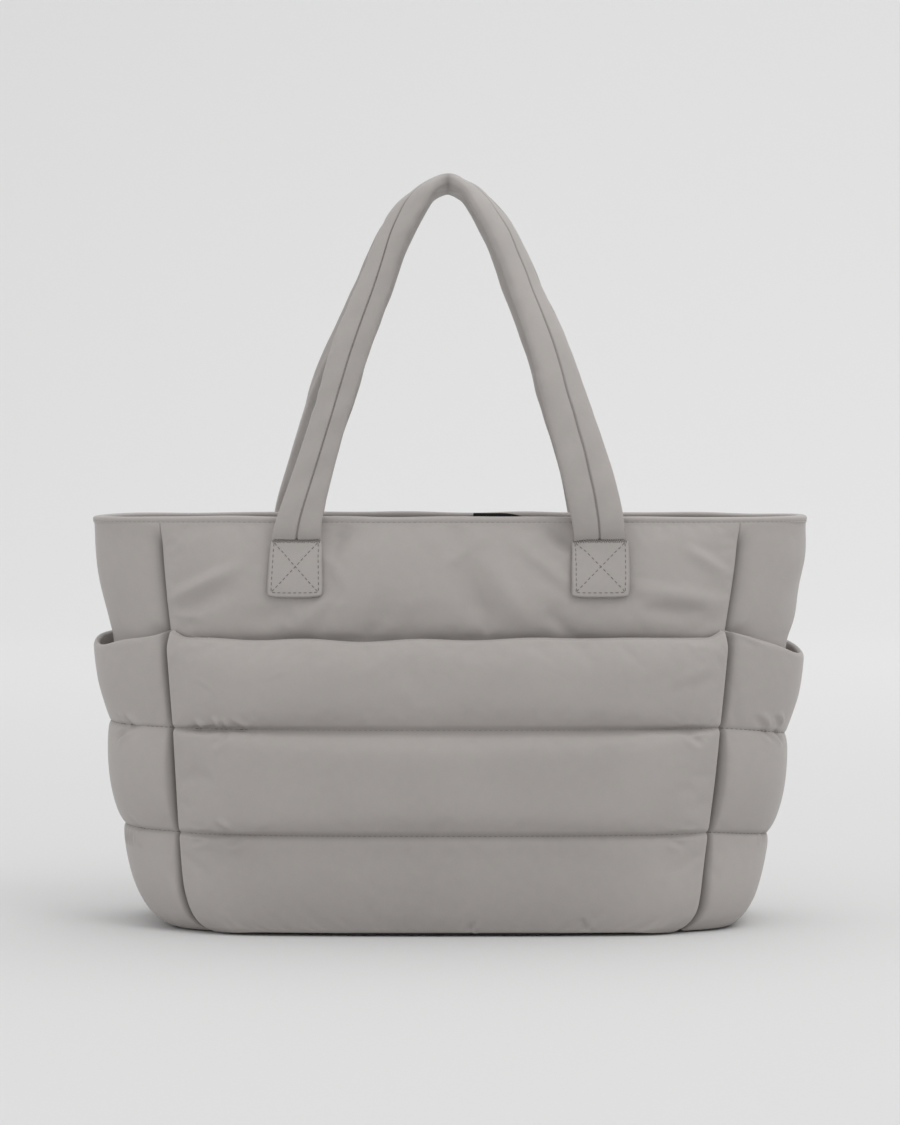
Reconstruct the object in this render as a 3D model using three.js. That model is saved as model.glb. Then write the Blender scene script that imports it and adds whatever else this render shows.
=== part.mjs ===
// A padded tote bag: two shoulder handles, a quilted pocket across the front and one on each side.
// Millimetres, +Z up. The front faces -Y, and the origin lies on the floor under the bag's middle.
import * as THREE from "three";

// Body sizes
const RIM_HEIGHT = 273.3;
const WALL = 7; // padded thickness of the body's own panels
const FOOT = 0.8; // how far the base stands below the panels
const BASE_THICKNESS = 5;
const SEWN_GAP = 0.4; // clearance between two pieces that are sewn together
const SECTION_POWER = 3; // power of the superellipse that every level follows
const UPPER_SWELL = 3.5; // how far the front and back swell between the pocket mouths and the rim
const GUSSET_SWELL = 0.8; // the same for the two gussets

// Rim band sizes
const BAND_HEIGHT = 6;
const BAND_OVERHANG = 1;
const RIM_STATIONS = 56;
const RIM_CORNER_DROP = 0.4; // the rim sinks a little towards its two ends

// Handle sizes
const HANDLE_WIDTH = 36;
const HANDLE_SIDES = 12;
const HANDLE_STATIONS = 34;
const HANDLE_POWER = 2.6; // power of the strap's rounded section
const HANDLE_MIDDLE_X = 99; // from the handle's middle to the middle of each sewn end
const FRONT_HANDLE = { shift: -1.3, footShift: 0, widen: 0 }; // shifts are sideways, of all the handle or of its feet
const BACK_HANDLE = { shift: -1.3, footShift: -2.4, widen: 0.06 }; // widen is its share of extra breadth
const FOOT_SHIFT_FROM = 311; // the feet's own shift fades out between these two heights
const FOOT_SHIFT_TO = 401;

// Sewn tab sizes, at the foot of each handle leg
const TAB_WIDTH = 37;
const TAB_BOTTOM = 219.9;
const TAB_TOP = 257.8;
const TAB_THICKNESS = 2.8;

// Plain black tab inside the back rim
const INNER_TAB = { left: 16, right: 54, bottom: 257, top: 272.7, thickness: 1.6 };

// Grid steps of the panels
const CHANNEL_STEPS = 6;
const UPPER_STEPS = 6;
const FACE_COLUMNS = 14;
const SIDE_COLUMNS = 8;

// The body panels' outer face, a row for each level: half sizes of its superellipse, the corner seams' distance
// from the middle, and how far the level sits to the right, since the soft body leans a little.
const LEVELS = [
  { z: FOOT, halfWidth: 195, halfDepth: 71, seamX: 157, lean: -2.9 },
  { z: 12, halfWidth: 200, halfDepth: 73, seamX: 164, lean: -2.9 },
  { z: 33, halfWidth: 203.5, halfDepth: 74.5, seamX: 168.5, lean: -2.7 },
  { z: 66, halfWidth: 211, halfDepth: 74.5, seamX: 172, lean: -1.9 },
  { z: 134, halfWidth: 221.5, halfDepth: 71.5, seamX: 176.5, lean: -0.8 },
  { z: 194, halfWidth: 227.6, halfDepth: 66, seamX: 182, lean: -0.3 },
  { z: 241, halfWidth: 236, halfDepth: 60, seamX: 188.5, lean: 0 },
  { z: RIM_HEIGHT, halfWidth: 239.5, halfDepth: 57, seamX: 191, lean: 0 },
];

// The quilted channels, top to bottom: how thick the padding stands in the front pocket, the side pockets and the back panel.
const CHANNELS = [
  { top: 194, bottom: 134, front: 13, side: 5.6, back: 15 },
  { top: 134, bottom: 66, front: 14, side: 9.5, back: 15.5 },
  { top: 66, bottom: FOOT, front: 13.5, side: 7.5, back: 15 },
];
const MOUTH_HEIGHT = CHANNELS[0].top;
const SEAM_THICKNESS = 3.2; // padding left where a channel is sewn down
const LIP_THICKNESS = { front: 4.5, side: 3.4, back: 4.5 }; // padding along a pocket's open mouth
const FOOT_THICKNESS = { front: 8, side: 5, back: 10 }; // padding along the foot, where the lowest channel sags
const PUFF_POWER = 0.55; // below 1 makes a channel swell steeply from its seams
const PUFF_SAG = 1.15; // above 1 moves a channel's fullest line below its middle
const EDGE_ROUNDING = 16; // the padding thins over this distance from a corner seam

// How far each pocket stands off the body behind it, from its mouth down to its foot.
const POCKET_GAPE = [
  { z: FOOT, front: 0.4, side: 0.3 },
  { z: 66, front: 1.2, side: 0.8 },
  { z: 134, front: 4.5, side: 3 },
  { z: 166, front: 8, side: 7.6 },
  { z: MOUTH_HEIGHT, front: 10, side: 10.2 },
];
const LEFT_MOUTH_DIP = 5; // how far a side pocket's mouth hangs in its middle
const RIGHT_MOUTH_DIP = 11;

// Soft folds of the upper front and back panels: a ridge where depth is positive, a dent where it is negative.
const FOLDS = [
  { x: -157, z: 219, angle: 32, length: 62, width: 9, depth: 2 },
  { x: -158, z: 200, angle: 5, length: 30, width: 6, depth: -2 },
  { x: -88, z: 208, angle: 50, length: 34, width: 8, depth: 1.2 },
  { x: 18, z: 213, angle: -62, length: 58, width: 13, depth: -2.4 },
  { x: 72, z: 203, angle: -50, length: 26, width: 8, depth: -1.8 },
  { x: 58, z: 240, angle: -34, length: 46, width: 9, depth: 1.2 },
  { x: 152, z: 226, angle: -22, length: 58, width: 9, depth: 1.6 },
  { x: 162, z: 200, angle: 8, length: 36, width: 7, depth: -2 },
];

// One leg of the front handle, from its sewn end up to the middle of the arch.
// The strap's broad face looks forward at turn 0 and outward from the arch at turn 90.
const HANDLE_LEG = [
  { x: HANDLE_MIDDLE_X, y: -64.5, z: TAB_TOP + SEWN_GAP, turn: 0, thickness: 5 },
  { x: HANDLE_MIDDLE_X, y: -64.5, z: 263.3, turn: 0, thickness: 6 },
  { x: 97, y: -65, z: 276.3, turn: 8, thickness: 8 },
  { x: 90.5, y: -62, z: 304.3, turn: 24, thickness: 10 },
  { x: 79, y: -55, z: 343.3, turn: 35, thickness: 10.5 },
  { x: 66.5, y: -47, z: 383.3, turn: 45, thickness: 10.5 },
  { x: 50.5, y: -38, z: 422.3, turn: 55, thickness: 10.5 },
  { x: 34, y: -29, z: 462.3, turn: 64, thickness: 11 },
  { x: 17.5, y: -22.5, z: 486.3, turn: 78, thickness: 11.5 },
  { x: 0, y: -20, z: 494.8, turn: 90, thickness: 12 },
];

// Finishes
const CLOTH = new THREE.MeshStandardMaterial({ color: 0x9d9893, roughness: 0.6, metalness: 0 });
const STRAP = new THREE.MeshStandardMaterial({ color: 0xa19c97, roughness: 0.58, metalness: 0 });
const BLACK_WEBBING = new THREE.MeshStandardMaterial({ color: 0x0b0b0b, roughness: 0.7, metalness: 0 });

// Value of one column of a table whose rows rise with `key`, on a smooth curve through the rows.
function along(table, key, column, at) {
  const last = table.length - 1;
  let i = 0;
  while (i < last - 1 && at > table[i + 1][key]) i += 1;
  const slope = (n) => {
    const before = table[Math.max(n - 1, 0)];
    const after = table[Math.min(n + 1, last)];
    return (after[column] - before[column]) / (after[key] - before[key]);
  };
  const from = table[i];
  const to = table[i + 1];
  const span = to[key] - from[key];
  const t = THREE.MathUtils.clamp((at - from[key]) / span, 0, 1);
  const rise = t * t * (3 - 2 * t);
  const leave = t * (1 - t) * (1 - t) * slope(i) * span;
  const arrive = t * t * (t - 1) * slope(i + 1) * span;
  return from[column] + (to[column] - from[column]) * rise + leave + arrive;
}

// Outline of one level.
function levelAt(z) {
  const halfWidth = along(LEVELS, "z", "halfWidth", z);
  const halfDepth = along(LEVELS, "z", "halfDepth", z);
  const seamX = along(LEVELS, "z", "seamX", z);
  const lean = along(LEVELS, "z", "lean", z);
  const seamShare = seamX / halfWidth;
  return { halfWidth, halfDepth, seamX, lean, seamShare, seamDepthShare: superellipse(seamShare) };
}

// The other coordinate of the unit superellipse.
function superellipse(share) {
  return (1 - Math.abs(share) ** SECTION_POWER) ** (1 / SECTION_POWER);
}

// A point of the front (facing -1) or back (facing 1), between the corner seams at column -1 and 1.
function facePoint(facing, column, z, offset) {
  const level = levelAt(z);
  const share = column * (level.seamShare - SEWN_GAP / level.halfWidth);
  const x = level.lean + (level.halfWidth + offset) * share;
  const y = facing * (level.halfDepth + offset) * superellipse(share);
  return new THREE.Vector3(x, y, z);
}

// A point of the left (facing -1) or right (facing 1) side, from the front seam at column -1 to the back seam at 1.
function sidePoint(facing, column, z, offset) {
  const level = levelAt(z);
  const share = column * (level.seamDepthShare - SEWN_GAP / level.halfDepth);
  const x = level.lean + facing * (level.halfWidth + offset) * superellipse(share);
  const y = (level.halfDepth + offset) * share;
  return new THREE.Vector3(x, y, z);
}

// Grid positions
const smoothstep = (t) => t * t * (3 - 2 * t);
const cosineStep = (i, steps) => (1 - Math.cos((Math.PI * i) / steps)) / 2;
const columnsOf = (count) =>
  Array.from({ length: count + 1 }, (_, j) => Math.sin((Math.PI / 2) * ((2 * j) / count - 1)));

// Heights of the rows through the channels, from the mouth down; `stride` skips rows of all but the lowest channel.
function channelRows(stride = 1) {
  const rows = [MOUTH_HEIGHT];
  CHANNELS.forEach((channel, index) => {
    const step = index === CHANNELS.length - 1 ? 1 : stride;
    for (let i = step; i <= CHANNEL_STEPS; i += step) {
      const share = cosineStep(i, CHANNEL_STEPS);
      rows.push(channel.top + (channel.bottom - channel.top) * share);
    }
  });
  return rows;
}

// Heights of the rows of a body panel, from under the rim band down.
function bodyRows(stride) {
  const top = RIM_HEIGHT - BAND_HEIGHT - SEWN_GAP;
  const upper = Array.from({ length: UPPER_STEPS }, (_, i) => top + ((MOUTH_HEIGHT - top) * i) / UPPER_STEPS);
  return [...upper, ...channelRows(stride)];
}

// How far the padding swells at one height of the channels, 0 at a seam and 1 at its fullest.
function channelAt(z) {
  const channel = CHANNELS.find((row) => z >= row.bottom - 1e-6) ?? CHANNELS.at(-1);
  const share = THREE.MathUtils.clamp((channel.top - z) / (channel.top - channel.bottom), 0, 1);
  return { channel, swell: Math.max(Math.sin(Math.PI * share ** PUFF_SAG), 0) ** PUFF_POWER };
}

// Padding thins towards the corner seams, along a quarter round.
function edgeRound(column, halfSpan) {
  const inward = Math.min((halfSpan * (1 - Math.abs(column))) / EDGE_ROUNDING, 1);
  return Math.sqrt(1 - (1 - inward) ** 2);
}

// Padded thickness of a quilted panel; its mouth and its foot keep more padding than the seams between.
function quiltThickness(z, column, halfSpan, region) {
  const { channel, swell } = channelAt(z);
  const isUpperHalf = z > (channel.top + channel.bottom) / 2;
  let edge = SEAM_THICKNESS;
  if (channel === CHANNELS[0] && isUpperHalf) edge = LIP_THICKNESS[region];
  if (channel === CHANNELS.at(-1) && !isUpperHalf) edge = FOOT_THICKNESS[region];
  const full = edge + (channel[region] - edge) * swell;
  return SEAM_THICKNESS + (full - SEAM_THICKNESS) * edgeRound(column, halfSpan);
}

// Swell of a body panel above the pocket mouths.
function upperSwell(z, column, most = UPPER_SWELL) {
  const share = THREE.MathUtils.clamp((z - MOUTH_HEIGHT) / (RIM_HEIGHT - BAND_HEIGHT - MOUTH_HEIGHT), 0, 1);
  return most * Math.sin(Math.PI * share) ** 0.8 * (1 - column ** 6);
}

// Depth of the soft folds at one place of the upper panel.
function foldDepth(x, z) {
  let depth = 0;
  for (const fold of FOLDS) {
    const turn = THREE.MathUtils.degToRad(fold.angle);
    const alongFold = (x - fold.x) * Math.cos(turn) + (z - fold.z) * Math.sin(turn);
    const across = (z - fold.z) * Math.cos(turn) - (x - fold.x) * Math.sin(turn);
    const reach = Math.max(1 - (2 * alongFold) ** 2 / fold.length ** 2, 0);
    depth += fold.depth * reach * Math.exp(-((across / fold.width) ** 2));
  }
  const share = (z - MOUTH_HEIGHT) / (RIM_HEIGHT - BAND_HEIGHT - MOUTH_HEIGHT);
  return share <= 0 || share >= 1 ? 0 : depth * Math.min(1, 4 * share, 4 * (1 - share));
}

// Offset of the upper front panel's outer face, which the tabs also follow.
function frontOffset(column, z) {
  const { seamX } = levelAt(z);
  return upperSwell(z, column) + foldDepth(column * seamX, z) * (1 - column ** 6);
}

// Mesh helpers

// A closed solid from triangles over a list of points, turned to face outwards.
function solid(points, faces) {
  let volume = 0;
  for (const [a, b, c] of faces) {
    volume += points[a].dot(new THREE.Vector3().crossVectors(points[b], points[c]));
  }
  const order = volume < 0 ? faces.map(([a, b, c]) => [a, c, b]) : faces;
  const geometry = new THREE.BufferGeometry().setFromPoints(points);
  geometry.setIndex(order.flat());
  geometry.computeVertexNormals();
  return geometry;
}

// The two triangles of a quad, split along its shorter diagonal.
function quad(points, a, b, c, d) {
  const acrossFirst = points[a].distanceTo(points[c]) <= points[b].distanceTo(points[d]);
  return acrossFirst ? [[a, b, c], [a, c, d]] : [[a, b, d], [b, c, d]];
}

// A padded wall between an outer and an inner grid of points, closed along its four edges.
function paddedWall(rows, columns, outerPoint, innerPoint) {
  const height = rows.length;
  const width = columns.length;
  const outer = rows.flatMap((z) => columns.map((column) => outerPoint(column, z)));
  const inner = rows.flatMap((z) => columns.map((column) => innerPoint(column, z)));
  const points = [...outer, ...inner];
  const out = (i, j) => i * width + j;
  const into = (i, j) => height * width + i * width + j;
  const faces = [];
  for (let i = 0; i < height - 1; i += 1) {
    for (let j = 0; j < width - 1; j += 1) {
      faces.push(...quad(points, out(i, j), out(i + 1, j), out(i + 1, j + 1), out(i, j + 1)));
      faces.push(...quad(points, into(i, j), into(i, j + 1), into(i + 1, j + 1), into(i + 1, j)));
    }
  }
  for (let i = 0; i < height - 1; i += 1) {
    const right = width - 1;
    faces.push(...quad(points, out(i, 0), into(i, 0), into(i + 1, 0), out(i + 1, 0)));
    faces.push(...quad(points, out(i + 1, right), into(i + 1, right), into(i, right), out(i, right)));
  }
  for (let j = 0; j < width - 1; j += 1) {
    const bottom = height - 1;
    faces.push(...quad(points, out(0, j + 1), into(0, j + 1), into(0, j), out(0, j)));
    faces.push(...quad(points, out(bottom, j), into(bottom, j), into(bottom, j + 1), out(bottom, j + 1)));
  }
  return solid(points, faces);
}

// A solid through rings of points, with flat ends, or joined end to end where it is a loop.
function loft(rings, isLoop) {
  const sides = rings[0].length;
  const points = rings.flat();
  const at = (ring, side) => (ring % rings.length) * sides + (side % sides);
  const faces = [];
  const spans = isLoop ? rings.length : rings.length - 1;
  for (let i = 0; i < spans; i += 1) {
    for (let j = 0; j < sides; j += 1) {
      faces.push(...quad(points, at(i, j), at(i, j + 1), at(i + 1, j + 1), at(i + 1, j)));
    }
  }
  for (let j = 1; !isLoop && j < sides - 1; j += 1) {
    faces.push([at(0, 0), at(0, j + 1), at(0, j)]);
    faces.push([at(spans, 0), at(spans, j), at(spans, j + 1)]);
  }
  return solid(points, faces);
}

function piece(name, geometry, material) {
  const mesh = new THREE.Mesh(geometry, material);
  mesh.name = name;
  return mesh;
}

// Body panels
function frontPanel() {
  return paddedWall(
    bodyRows(2),
    columnsOf(FACE_COLUMNS),
    (column, z) => facePoint(-1, column, z, frontOffset(column, z)),
    (column, z) => facePoint(-1, column, z, -WALL),
  );
}

function backPanel() {
  const outset = (column, z) => {
    if (z > MOUTH_HEIGHT) return upperSwell(z, column);
    return quiltThickness(z, column, levelAt(z).seamX, "back") - SEAM_THICKNESS;
  };
  return paddedWall(
    bodyRows(1),
    columnsOf(FACE_COLUMNS),
    (column, z) => facePoint(1, column, z, outset(column, z)),
    (column, z) => facePoint(1, column, z, -WALL),
  );
}

function gusset(facing) {
  return paddedWall(
    bodyRows(2),
    columnsOf(SIDE_COLUMNS),
    (column, z) => sidePoint(facing, column, z, upperSwell(z, column, GUSSET_SWELL)),
    (column, z) => sidePoint(facing, column, z, -WALL),
  );
}

// The base's edge follows the foot of the panels round it, seam by seam.
function base() {
  const inset = -WALL - SEWN_GAP;
  const face = columnsOf(FACE_COLUMNS).slice(0, -1);
  const side = columnsOf(SIDE_COLUMNS).slice(0, -1);
  const edge = [
    ...face.map((column) => facePoint(-1, column, FOOT, inset)),
    ...side.map((column) => sidePoint(1, column, FOOT, inset)),
    ...face.map((column) => facePoint(1, -column, FOOT, inset)),
    ...side.map((column) => sidePoint(-1, -column, FOOT, inset)),
  ];
  const outline = new THREE.Shape(edge.map((point) => new THREE.Vector2(point.x, point.y)));
  return new THREE.ExtrudeGeometry(outline, { depth: BASE_THICKNESS, bevelEnabled: false });
}

// Points once round the unit superellipse.
function loopShares(count) {
  const rounded = (value) => Math.sign(value) * Math.abs(value) ** (2 / SECTION_POWER);
  return Array.from({ length: count }, (_, i) => {
    const angle = (2 * Math.PI * i) / count;
    return [rounded(Math.cos(angle)), rounded(Math.sin(angle))];
  });
}

// The folded and topstitched edge round the bag's mouth.
function rimBand() {
  const { halfWidth, halfDepth } = levelAt(RIM_HEIGHT);
  const outer = BAND_OVERHANG;
  const inner = -WALL - BAND_OVERHANG;
  const middle = (outer + inner) / 2;
  const profile = [
    { offset: inner, up: 0 },
    { offset: outer, up: 0 },
    { offset: outer, up: 0.6 * BAND_HEIGHT },
    { offset: outer - 2, up: 0.93 * BAND_HEIGHT },
    { offset: middle, up: BAND_HEIGHT },
    { offset: inner + 2, up: 0.93 * BAND_HEIGHT },
    { offset: inner, up: 0.6 * BAND_HEIGHT },
  ];
  const rings = loopShares(RIM_STATIONS).map(([across, deep]) =>
    profile.map(({ offset, up }) => {
      const drop = (RIM_CORNER_DROP * across ** 4 * up) / BAND_HEIGHT;
      const z = RIM_HEIGHT - BAND_HEIGHT + up - drop;
      return new THREE.Vector3((halfWidth + offset) * across, (halfDepth + offset) * deep, z);
    }),
  );
  return loft(rings, true);
}

// Pockets
function gape(region, column, z) {
  return SEWN_GAP + along(POCKET_GAPE, "z", region, z) * (1 - column ** 2);
}

function frontPocket() {
  const inset = (column, z) => gape("front", column, z);
  return paddedWall(
    channelRows(),
    columnsOf(FACE_COLUMNS),
    (column, z) => {
      const thickness = quiltThickness(z, column, levelAt(z).seamX, "front");
      return facePoint(-1, column, z, inset(column, z) + thickness);
    },
    (column, z) => facePoint(-1, column, z, inset(column, z)),
  );
}

function sidePocket(facing, mouthDip) {
  // The top channel's rows are drawn down in the middle, so the mouth hangs in a shallow curve.
  const hung = (column, z) => {
    const { top, bottom } = CHANNELS[0];
    const share = THREE.MathUtils.clamp((z - bottom) / (top - bottom), 0, 1);
    return z - mouthDip * smoothstep(share) * (1 - column ** 2);
  };
  const halfSpan = (z) => levelAt(z).halfDepth;
  return paddedWall(
    channelRows(),
    columnsOf(SIDE_COLUMNS),
    (column, z) => {
      const offset = gape("side", column, z) + quiltThickness(z, column, halfSpan(z), "side");
      return sidePoint(facing, column, hung(column, z), offset);
    },
    (column, z) => sidePoint(facing, column, hung(column, z), gape("side", column, z)),
  );
}

// Handles

// Rows of a whole handle: one leg up, over the arch, and the other leg down.
function handleRows() {
  const rising = HANDLE_LEG.map((row) => ({ ...row, x: -row.x }));
  const falling = HANDLE_LEG.slice(0, -1).reverse();
  return [...rising, ...falling].map((row, index) => ({ ...row, index }));
}

// Where one row of a handle's leg hangs, left to right.
function hangingX({ shift, footShift, widen }, x, z) {
  const rise = THREE.MathUtils.clamp((z - FOOT_SHIFT_FROM) / (FOOT_SHIFT_TO - FOOT_SHIFT_FROM), 0, 1);
  return x * (1 + widen) + shift + footShift * (1 - smoothstep(rise));
}

// A padded strap swept along its arch; facing is -1 for the front handle and 1 for the back one.
function handle(facing, hang) {
  const rows = handleRows();
  const path = new THREE.CatmullRomCurve3(rows.map((row) => {
    return new THREE.Vector3(hangingX(hang, row.x, row.z), -facing * row.y, row.z);
  }));
  const rounded = (value) => Math.sign(value) * Math.abs(value) ** (2 / HANDLE_POWER);
  const rings = Array.from({ length: HANDLE_STATIONS + 1 }, (_, i) => {
    const t = i / HANDLE_STATIONS;
    const at = t * (rows.length - 1);
    const turn = THREE.MathUtils.degToRad(along(rows, "index", "turn", at));
    const thickness = along(rows, "index", "thickness", at);
    const centre = path.getPoint(t);
    const run = path.getTangent(t);
    const forward = new THREE.Vector3(0, facing, 0).addScaledVector(run, -facing * run.y).normalize();
    const outward = new THREE.Vector3().crossVectors(run, forward).multiplyScalar(facing);
    const broad = forward.multiplyScalar(Math.cos(turn)).addScaledVector(outward, Math.sin(turn)).normalize();
    const across = new THREE.Vector3().crossVectors(broad, run);
    return Array.from({ length: HANDLE_SIDES }, (_unused, side) => {
      const angle = (2 * Math.PI * side) / HANDLE_SIDES;
      return centre.clone()
        .addScaledVector(across, (HANDLE_WIDTH / 2) * rounded(Math.cos(angle)))
        .addScaledVector(broad, (thickness / 2) * rounded(Math.sin(angle)));
    });
  });
  return loft(rings, false);
}

// A flat tab that follows the panel behind it; `side` is -1 for the left one and 1 for the right one.
function handleTab(facing, side, hang) {
  const middle = hangingX(hang, side * HANDLE_MIDDLE_X, TAB_TOP);
  const spanAt = (share, z) => (middle + (share * TAB_WIDTH) / 2) / levelAt(z).seamX;
  const behind = (column, z) => (facing < 0 ? frontOffset(column, z) : upperSwell(z, column));
  const at = (share, z, offset) => {
    const column = spanAt(share, z);
    return facePoint(facing, column, z, behind(column, z) + offset);
  };
  return paddedWall(
    [TAB_TOP, (TAB_BOTTOM + TAB_TOP) / 2, TAB_BOTTOM],
    [-1, -0.33, 0.33, 1],
    (share, z) => at(share, z, 1 + TAB_THICKNESS),
    (share, z) => at(share, z, 1),
  );
}

// The plain black tab that shows over the front rim, sewn to the inside of the back rim.
function innerTab() {
  const inset = WALL + BAND_OVERHANG + SEWN_GAP;
  const at = (x, z, offset) => {
    const { halfWidth, halfDepth } = levelAt(RIM_HEIGHT);
    const share = x / halfWidth;
    return new THREE.Vector3(x, (halfDepth - inset - offset) * superellipse(share), z);
  };
  const { left, right, bottom, top, thickness } = INNER_TAB;
  return paddedWall(
    [top, bottom],
    [left, (left + right) / 2, right],
    (x, z) => at(x, z, thickness),
    (x, z) => at(x, z, 0),
  );
}

// Assembly
const body = new THREE.Group();
body.add(
  piece("base", base(), CLOTH),
  piece("front_panel", frontPanel(), CLOTH),
  piece("back_panel", backPanel(), CLOTH),
  piece("gusset_left", gusset(-1), CLOTH),
  piece("gusset_right", gusset(1), CLOTH),
  piece("rim_band", rimBand(), CLOTH),
  piece("inner_tab", innerTab(), BLACK_WEBBING),
);

const pockets = new THREE.Group();
pockets.add(
  piece("front_pocket", frontPocket(), CLOTH),
  piece("side_pocket_left", sidePocket(-1, LEFT_MOUTH_DIP), CLOTH),
  piece("side_pocket_right", sidePocket(1, RIGHT_MOUTH_DIP), CLOTH),
);

const handles = new THREE.Group();
for (const [place, facing, hang] of [["front", -1, FRONT_HANDLE], ["back", 1, BACK_HANDLE]]) {
  handles.add(piece(`handle_${place}`, handle(facing, hang), STRAP));
  for (const [hand, side] of [["left", -1], ["right", 1]]) {
    handles.add(piece(`tab_${place}_${hand}`, handleTab(facing, side, hang), STRAP));
  }
}

const bag = new THREE.Group();
bag.add(body, pockets, handles);

export default bag;
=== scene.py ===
"""Looks of a padded tote bag: quilted pockets, soft panels, handles, stitching, finishes and stage."""

import math

import bpy
import numpy as np
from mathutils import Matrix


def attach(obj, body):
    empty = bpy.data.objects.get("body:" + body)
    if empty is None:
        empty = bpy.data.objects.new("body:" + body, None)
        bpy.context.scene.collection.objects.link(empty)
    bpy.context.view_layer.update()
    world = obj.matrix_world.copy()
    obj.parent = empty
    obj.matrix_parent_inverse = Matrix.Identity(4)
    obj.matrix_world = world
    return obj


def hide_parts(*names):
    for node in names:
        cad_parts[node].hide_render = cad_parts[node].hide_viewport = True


bl_info = {
    "name": "Padded tote bag",
    "version": (1, 0, 0),
    "blender": (4, 5, 0),
    "location": "3D View > Sidebar > Bag",
    "description": "Dresses the bag's frame with quilted cloth, padded handles, stitching and a plain stage",
    "category": "Object",
}

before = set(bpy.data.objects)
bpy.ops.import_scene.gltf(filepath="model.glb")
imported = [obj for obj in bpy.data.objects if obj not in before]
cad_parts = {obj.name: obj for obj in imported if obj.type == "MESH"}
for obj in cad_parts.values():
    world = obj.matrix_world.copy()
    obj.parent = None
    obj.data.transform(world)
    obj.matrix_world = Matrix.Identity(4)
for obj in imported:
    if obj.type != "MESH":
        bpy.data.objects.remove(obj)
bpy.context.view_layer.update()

# Sizes shared by the pieces, in millimetres
MM = 0.001
RIM_HEIGHT = 273.3
FOOT = 0.8
MOUTH_HEIGHT = 194.0
SECTION_POWER = 3.0
FOOT_POWER = 4.2
UPPER_SWELL = 6.5
GUSSET_SWELL = 1.6
BAND_HEIGHT = 5.2
PUFF_POWERS = {"front": (2.9, 4.2, 5.0), "side": (1.8, 1.8, 2.25), "back": (2.4, 2.6, 2.8)}
PUFF_SAG = {"front": 1.0, "side": 1.15, "back": 1.1}
CORNER_PADDING = {"front": 7.5, "side": 0.4, "back": 7.0}
CORNER_ROUNDING = {"front": 27.0, "side": 2.0, "back": 27.0}
CORNER_OVERHANG = 1.6
CORNER_TROUGH = 1.0
CORNER_COVER = 1.0
CORNER_RISE = 4.6
CORNER_EDGE = {"front": 2.6, "side": 0.0, "back": 2.6}
TAB_BOTTOM = 221.6
TAB_TOP = 257.8
TAB_GAP = 0.9
HANDLE_POWER = {-1: 2.6, 1: 4.5}
BAR_PITCH = 1.5
PANEL_TOP = RIM_HEIGHT - 3.4
SEAM_HOLD = 2.6
EDGE_HOLD = 2.5
HALF_SPANS = {"front_pocket": 175, "side_pocket": 70, "front_panel": 185, "back_panel": 180, "gusset": 62}
SEEDS = {"mouth": 4, "back": 9, "rim": 12, "gusset": 20, "welt": 31, "handle": 40, "handle_edge": 60}

# Small black tab inside the back rim: middle x, half width, middle height, half height, depth inside
INNER_TAB = (35, 19, 264.85, 7.85, 8.4)

# Where the camera stands and what it looks at, in metres
CAMERA_PLACE = (0.0, -2.380, 0.3463)
CAMERA_TARGET = (0.0, -0.080, 0.2443)

# Options of the simulated cloth that stay the same for every piece
CLOTH_OPTIONS = {
    "quality": 6, "mass": 0.02, "air_damping": 2,
    "tension_stiffness": 25, "compression_stiffness": 25, "shear_stiffness": 8,
    "tension_damping": 8, "compression_damping": 8, "shear_damping": 8, "bending_damping": 0.5,
    "use_pressure": True, "vertex_group_shrink": "loose", "vertex_group_mass": "held",
}

# Levels of the body: height, half width, half depth, corner seam's x, sideways lean
LEVELS = (
    (0.8, 184.5, 71.0, 152.0, 1.0),
    (5.0, 189.5, 72.0, 158.0, -0.2),
    (12.0, 194.5, 73.0, 163.0, -1.0),
    (33.0, 202.4, 74.5, 168.5, -2.2),
    (66.0, 211.0, 74.5, 172.0, -1.9),
    (134.0, 221.5, 71.5, 176.5, -0.8),
    (194.0, 227.6, 66.0, 182.0, -0.3),
    (241.0, 236.0, 60.0, 188.5, 0.0),
    (273.3, 239.5, 57.0, 191.0, 0.0),
)

# Front corner seams of the pockets, a little uneven: height, x of the left one, of the right one
POCKET_SEAMS = (
    (0.8, 147.0, 138.0),
    (3.0, 152.0, 143.5),
    (6.0, 155.8, 148.8),
    (12.0, 160.0, 154.4),
    (20.0, 163.0, 157.8),
    (33.0, 165.6, 160.3),
    (66.0, 169.0, 164.4),
    (100.0, 171.6, 168.2),
    (134.0, 174.2, 171.2),
    (194.0, 179.5, 176.8),
)

# Front corner seams of the body panels: height, x of the left one, of the right one
PANEL_SEAMS = (
    (0.8, 152.0, 152.0),
    (66.0, 172.0, 172.0),
    (134.0, 177.5, 176.5),
    (194.0, 184.6, 182.2),
    (241.0, 189.8, 189.0),
    (273.3, 192.0, 192.2),
)

# Quilted channels from the mouth down: top, bottom, padding of the front, of the sides and of the back
CHANNELS = (
    (194.0, 134.8, 13.0, 5.6, 15.0),
    (134.8, 66.0, 15.0, 9.5, 15.5),
    (66.0, 0.8, 12.4, 7.5, 15.0),
)
SEWN_LINES = (CHANNELS[0][1], CHANNELS[1][1])

# Padding that is left at the lines beside the usual: upper and lower sewn line, foot, mouth
SEAM_LIFT = {"front": (2.5, 6.5, 0.0, 0.0), "side": (0.0,) * 4, "back": (0.0,) * 4}

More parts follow.
